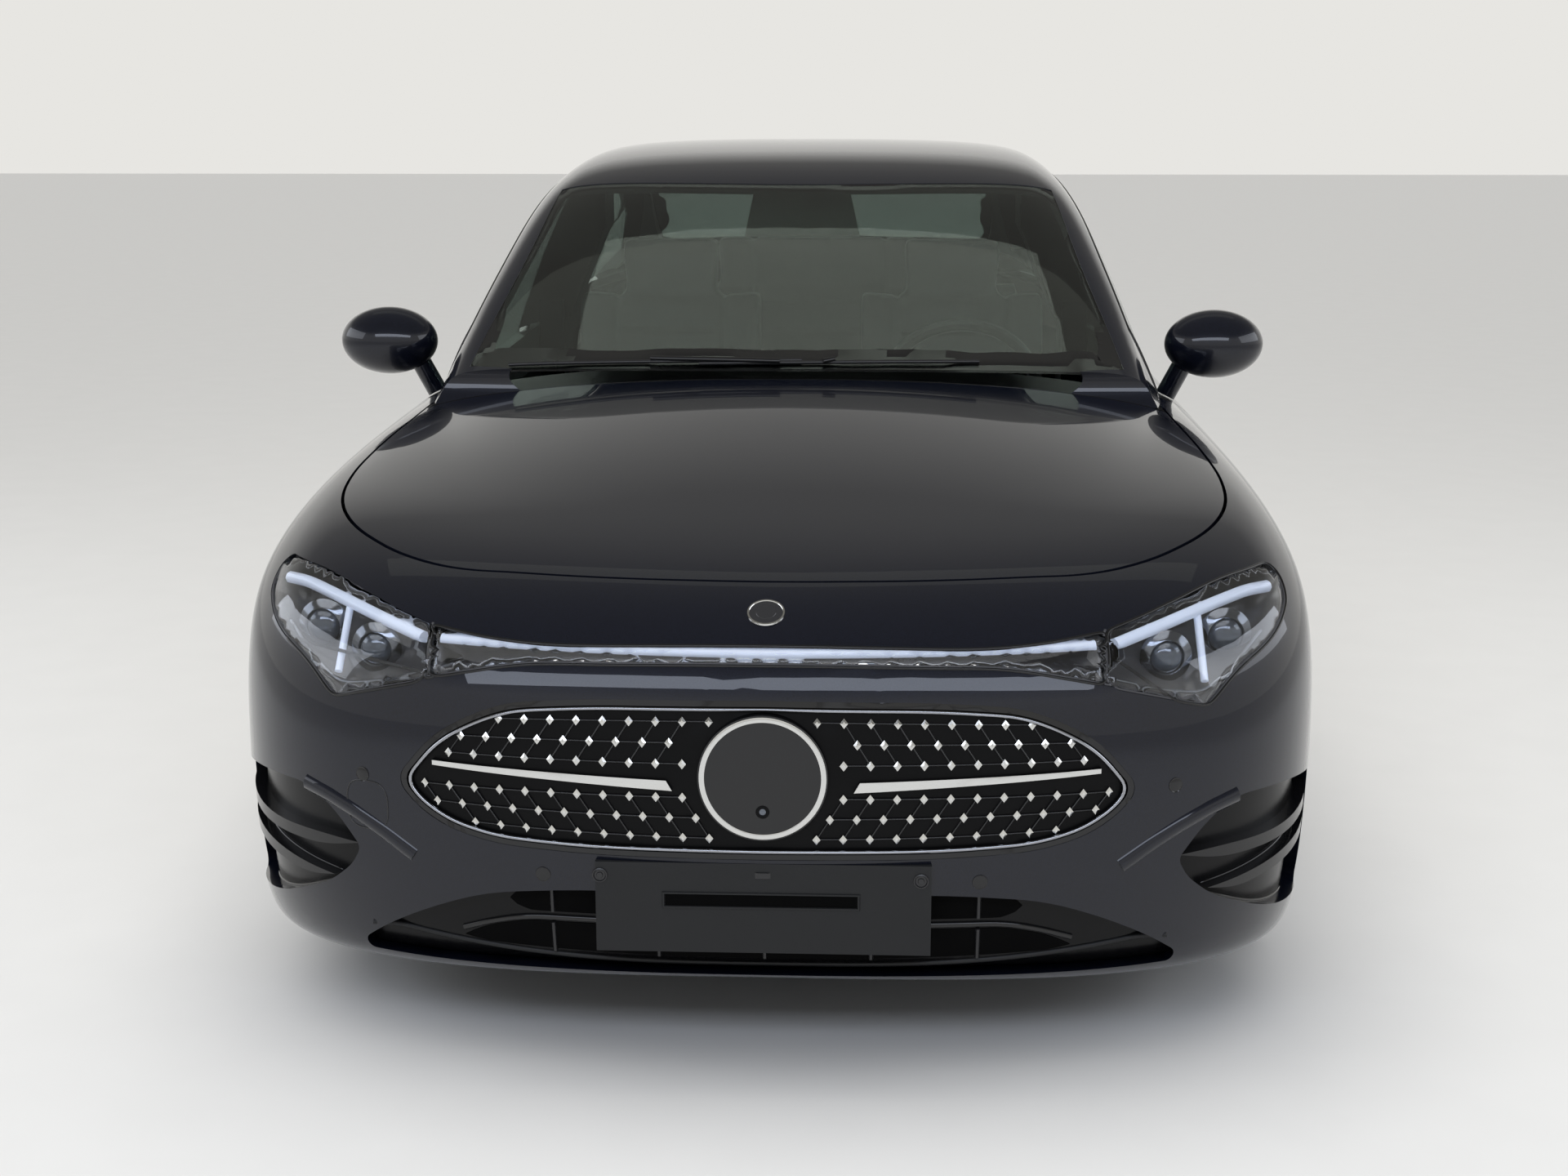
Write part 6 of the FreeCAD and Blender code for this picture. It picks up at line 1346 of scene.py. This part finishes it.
# Where the long seams lie on a front seat and on the bench, in shares of the half width
SEAT_SEAMS, BENCH_SEAMS = (0.56,), (0.33, 0.78)
hide = leather("seat_leather", (0.022, 0.022, 0.023), roughness=0.45)


def swollen(piece):
    """Blows the cover up as cloth under pressure, and caps how far each point moves."""
    before = read(piece.data.vertices, "co")
    cloth = modifier(piece, "CLOTH")
    cloth.settings.use_pressure = True
    cloth.settings.uniform_pressure_force = 4.0
    cloth.settings.effector_weights.gravity = 0.0
    cloth.settings.quality = 4
    cloth.collision_settings.use_collision = False
    for number in range(1, 21):
        scene.frame_set(number)
    blown = bpy.data.meshes.new_from_object(piece.evaluated_get(bpy.context.evaluated_depsgraph_get()))
    piece.modifiers.clear()
    moved = read(blown.vertices, "co") - before
    length = np.linalg.norm(moved, axis=1)
    moved *= (np.minimum(length, MOST_SWELL) / np.maximum(length, 1e-9))[:, None]
    scene.frame_set(1)
    piece.data.vertices.foreach_set("co", (before + moved).ravel())


def sew(mesh):
    """Presses the seams along the seat and the channels across it into the cover."""
    points, normals = read(mesh.vertices, "co"), read(mesh.vertices, "normal")
    low, high = points.min(0), points.max(0)
    off_centre = np.abs(points[:, 0] - (low[0] + high[0]) / 2)
    half = (high[0] - low[0]) / 2
    depth = np.zeros(len(points))
    for share in SEAT_SEAMS if half < SEAT_HALF_WIDTH else BENCH_SEAMS:
        depth = np.maximum(depth, np.exp(-((off_centre - share * half) / SEAM_WIDTH) ** 2))
    run = np.where(points[:, 2] > CUSHION_TOP, points[:, 2], points[:, 1] + 0.9)
    channel = np.exp(-(((run / CHANNEL_PITCH) % 1 - 0.5) * CHANNEL_PITCH / SEAM_WIDTH) ** 2)
    padded = (off_centre < SEAT_SEAMS[0] * half) & (points[:, 2] < HEADREST_FOOT)
    depth = np.maximum(depth, np.where(padded, 0.8 * channel, 0))
    seen = np.clip(normals @ np.array((0, -0.5, 0.5)) * 2.2, 0, 1)
    points -= normals * (SEAM_DEPTH * depth * seen)[:, None]
    mesh.vertices.foreach_set("co", np.minimum(np.maximum(points, low), high).ravel())


def padded_seat(name, node, keep, voxel=0.012):
    """A seat cover that swells from the seat's plain form under air pressure, with its seams sewn in."""
    piece = linked(name, bpy.data.objects[node].data.copy())

    def cut(work):
        gone = [face for face in work.faces if not keep(face.calc_center_median())]
        bmesh.ops.delete(work, geom=gone, context="FACES")
        bmesh.ops.remove_doubles(work, verts=work.verts, dist=0.00005)

    with_bmesh(piece.data, cut)
    modifier(piece, "REMESH", mode="VOXEL", voxel_size=voxel)
    finished(piece)
    swollen(piece)
    modifier(piece, "SMOOTH", iterations=4, factor=0.5)
    modifier(piece, "SUBSURF", levels=1, render_levels=1)
    mesh = finished(piece).data
    mesh.polygons.foreach_set("use_smooth", [True] * len(mesh.polygons))
    sew(mesh)
    mesh.materials.clear()
    mesh.materials.append(hide)
    mesh.update()
    fit(piece, "body", "upholstery", node)


padded_seat("driver_seat_cover", "front_seats", lambda p: p.x > 0)
padded_seat("passenger_seat_cover", "front_seats", lambda p: p.x < 0)
padded_seat("rear_bench_cover", "rear_bench", lambda p: True, voxel=0.0145)

# Rear lamps
# Red moulded covers bonded over dark housings at each side and on the lid, each with a light guide inside.
red = clear_finish("red_cover", (0.34, 0.006, 0.008), (0.46, 0.010, 0.012), scale=2.0, transmission=0.85)
guide_red = new_finish("red_light_guide", {
    "Base Color": (0.75, 0.03, 0.03, 1), "Roughness": 0.25, "Emission Color": (0.9, 0.03, 0.03, 1),
    "Emission Strength": 0.25})[0]
GUIDE_MARGIN, GUIDE_SINK = 0.03, 0.011
for node, body, zones in (("tail_lamps", "body", (("left", (0.45, 0.85, 0.2), 1), ("right", (-0.45, 0.85, 0.2), -1))),
                          ("lid_lamp", "lid", (("middle", (0, 0.97, 0.2), 0),))):
    blank = Skin(merged_copy(node, node + "_blank"))
    fitted_normals([blank])
    bed = Bed([blank])
    for zone, direction, out in zones:
        inside = blank.middles()[:, 0] * out >= 0
        front = lamp(blank, inside, direction, "%s_cover_%s" % (node, zone), "%s_housing_%s" % (node, zone), red,
                     "red_lens", body, node)
        spots = blank.points[np.unique(blank.corners[front])]
        low, high = spots.min(0), spots.max(0)
        hits = [bed.cast((x, 4, (low[2] + high[2]) / 2), FRONT)[0]
                for x in np.linspace(low[0] + GUIDE_MARGIN, high[0] - GUIDE_MARGIN, 60)]
        line = [hit - Vector((0, GUIDE_SINK, 0)) for hit in hits if hit is not None]
        bead("%s_light_line_%s" % (node, zone), smoothed(line, 3, closed=False), guide_red, "red_lens", body,
             radius=0.005, closed=False)
    bpy.data.objects.remove(blank.piece)

# Rear bumper fittings
# The grained lower valance is moulded with the bumper and left unpainted. A bare plate carrier sits in its recess.
VALANCE_TOP, VALANCE_REACH, VALANCE_FRONT = 0.43, 0.62, 1.9
lined(panels["rear_bumper"], (0, 1, -0.1), intake_black, least=0.2, area=0.0005,
      test=lambda m: (m[:, 2] < VALANCE_TOP) & (np.abs(m[:, 0]) < VALANCE_REACH) & (m[:, 1] > VALANCE_FRONT))
rounded_plate("rear_plate_carrier", (-0.26, 2.3435, 0.545), width=0.52, height=0.11, thickness=0.011, rounding=0.008,
              lean=-0.05, stuff=carrier_grey)

# Underbody
# Sealed aluminium battery and drive housings, welded steel axles and cast knuckles under moulded plastic trays and
# felted wheel liners.
for finish, dressed in (
        (cast_alloy("cast_aluminium", (0.32, 0.32, 0.33), roughness=0.45),
         ("battery_pack", "rear_drive_unit", "knuckle_left", "knuckle_right")),
        (cast_alloy("painted_chassis_steel", (0.018, 0.018, 0.02), roughness=0.5), ("front_axle", "rear_axle")),
        (moulded_plastic("tray_plastic", (0.020, 0.020, 0.021), roughness=0.6), ("floor_pan", "front_trunk_tub")),
        (moulded_plastic("liner_felt", (0.012, 0.012, 0.012), roughness=0.85, grain_size=400.0, depth=0.4),
         ("wheel_liners",)),
        (intake_black, ("cowl_panel",))):
    for node in dressed:
        dress(node, finish)

# Window seals
# Soft black rubber lips, extruded and pushed on round the side windows.
seal_rubber = moulded_plastic("seal_rubber", (0.008, 0.008, 0.008), roughness=0.45)
for door, body, out in DOORS:
    pane = panes["window_" + door]
    line = rim_line(pane, sheet_facing(pane, (out, 0, 0.3)), spacing=0.015)
    bead("window_seal_" + door, line, seal_rubber, "rubber", body, radius=0.0035, sides=6)
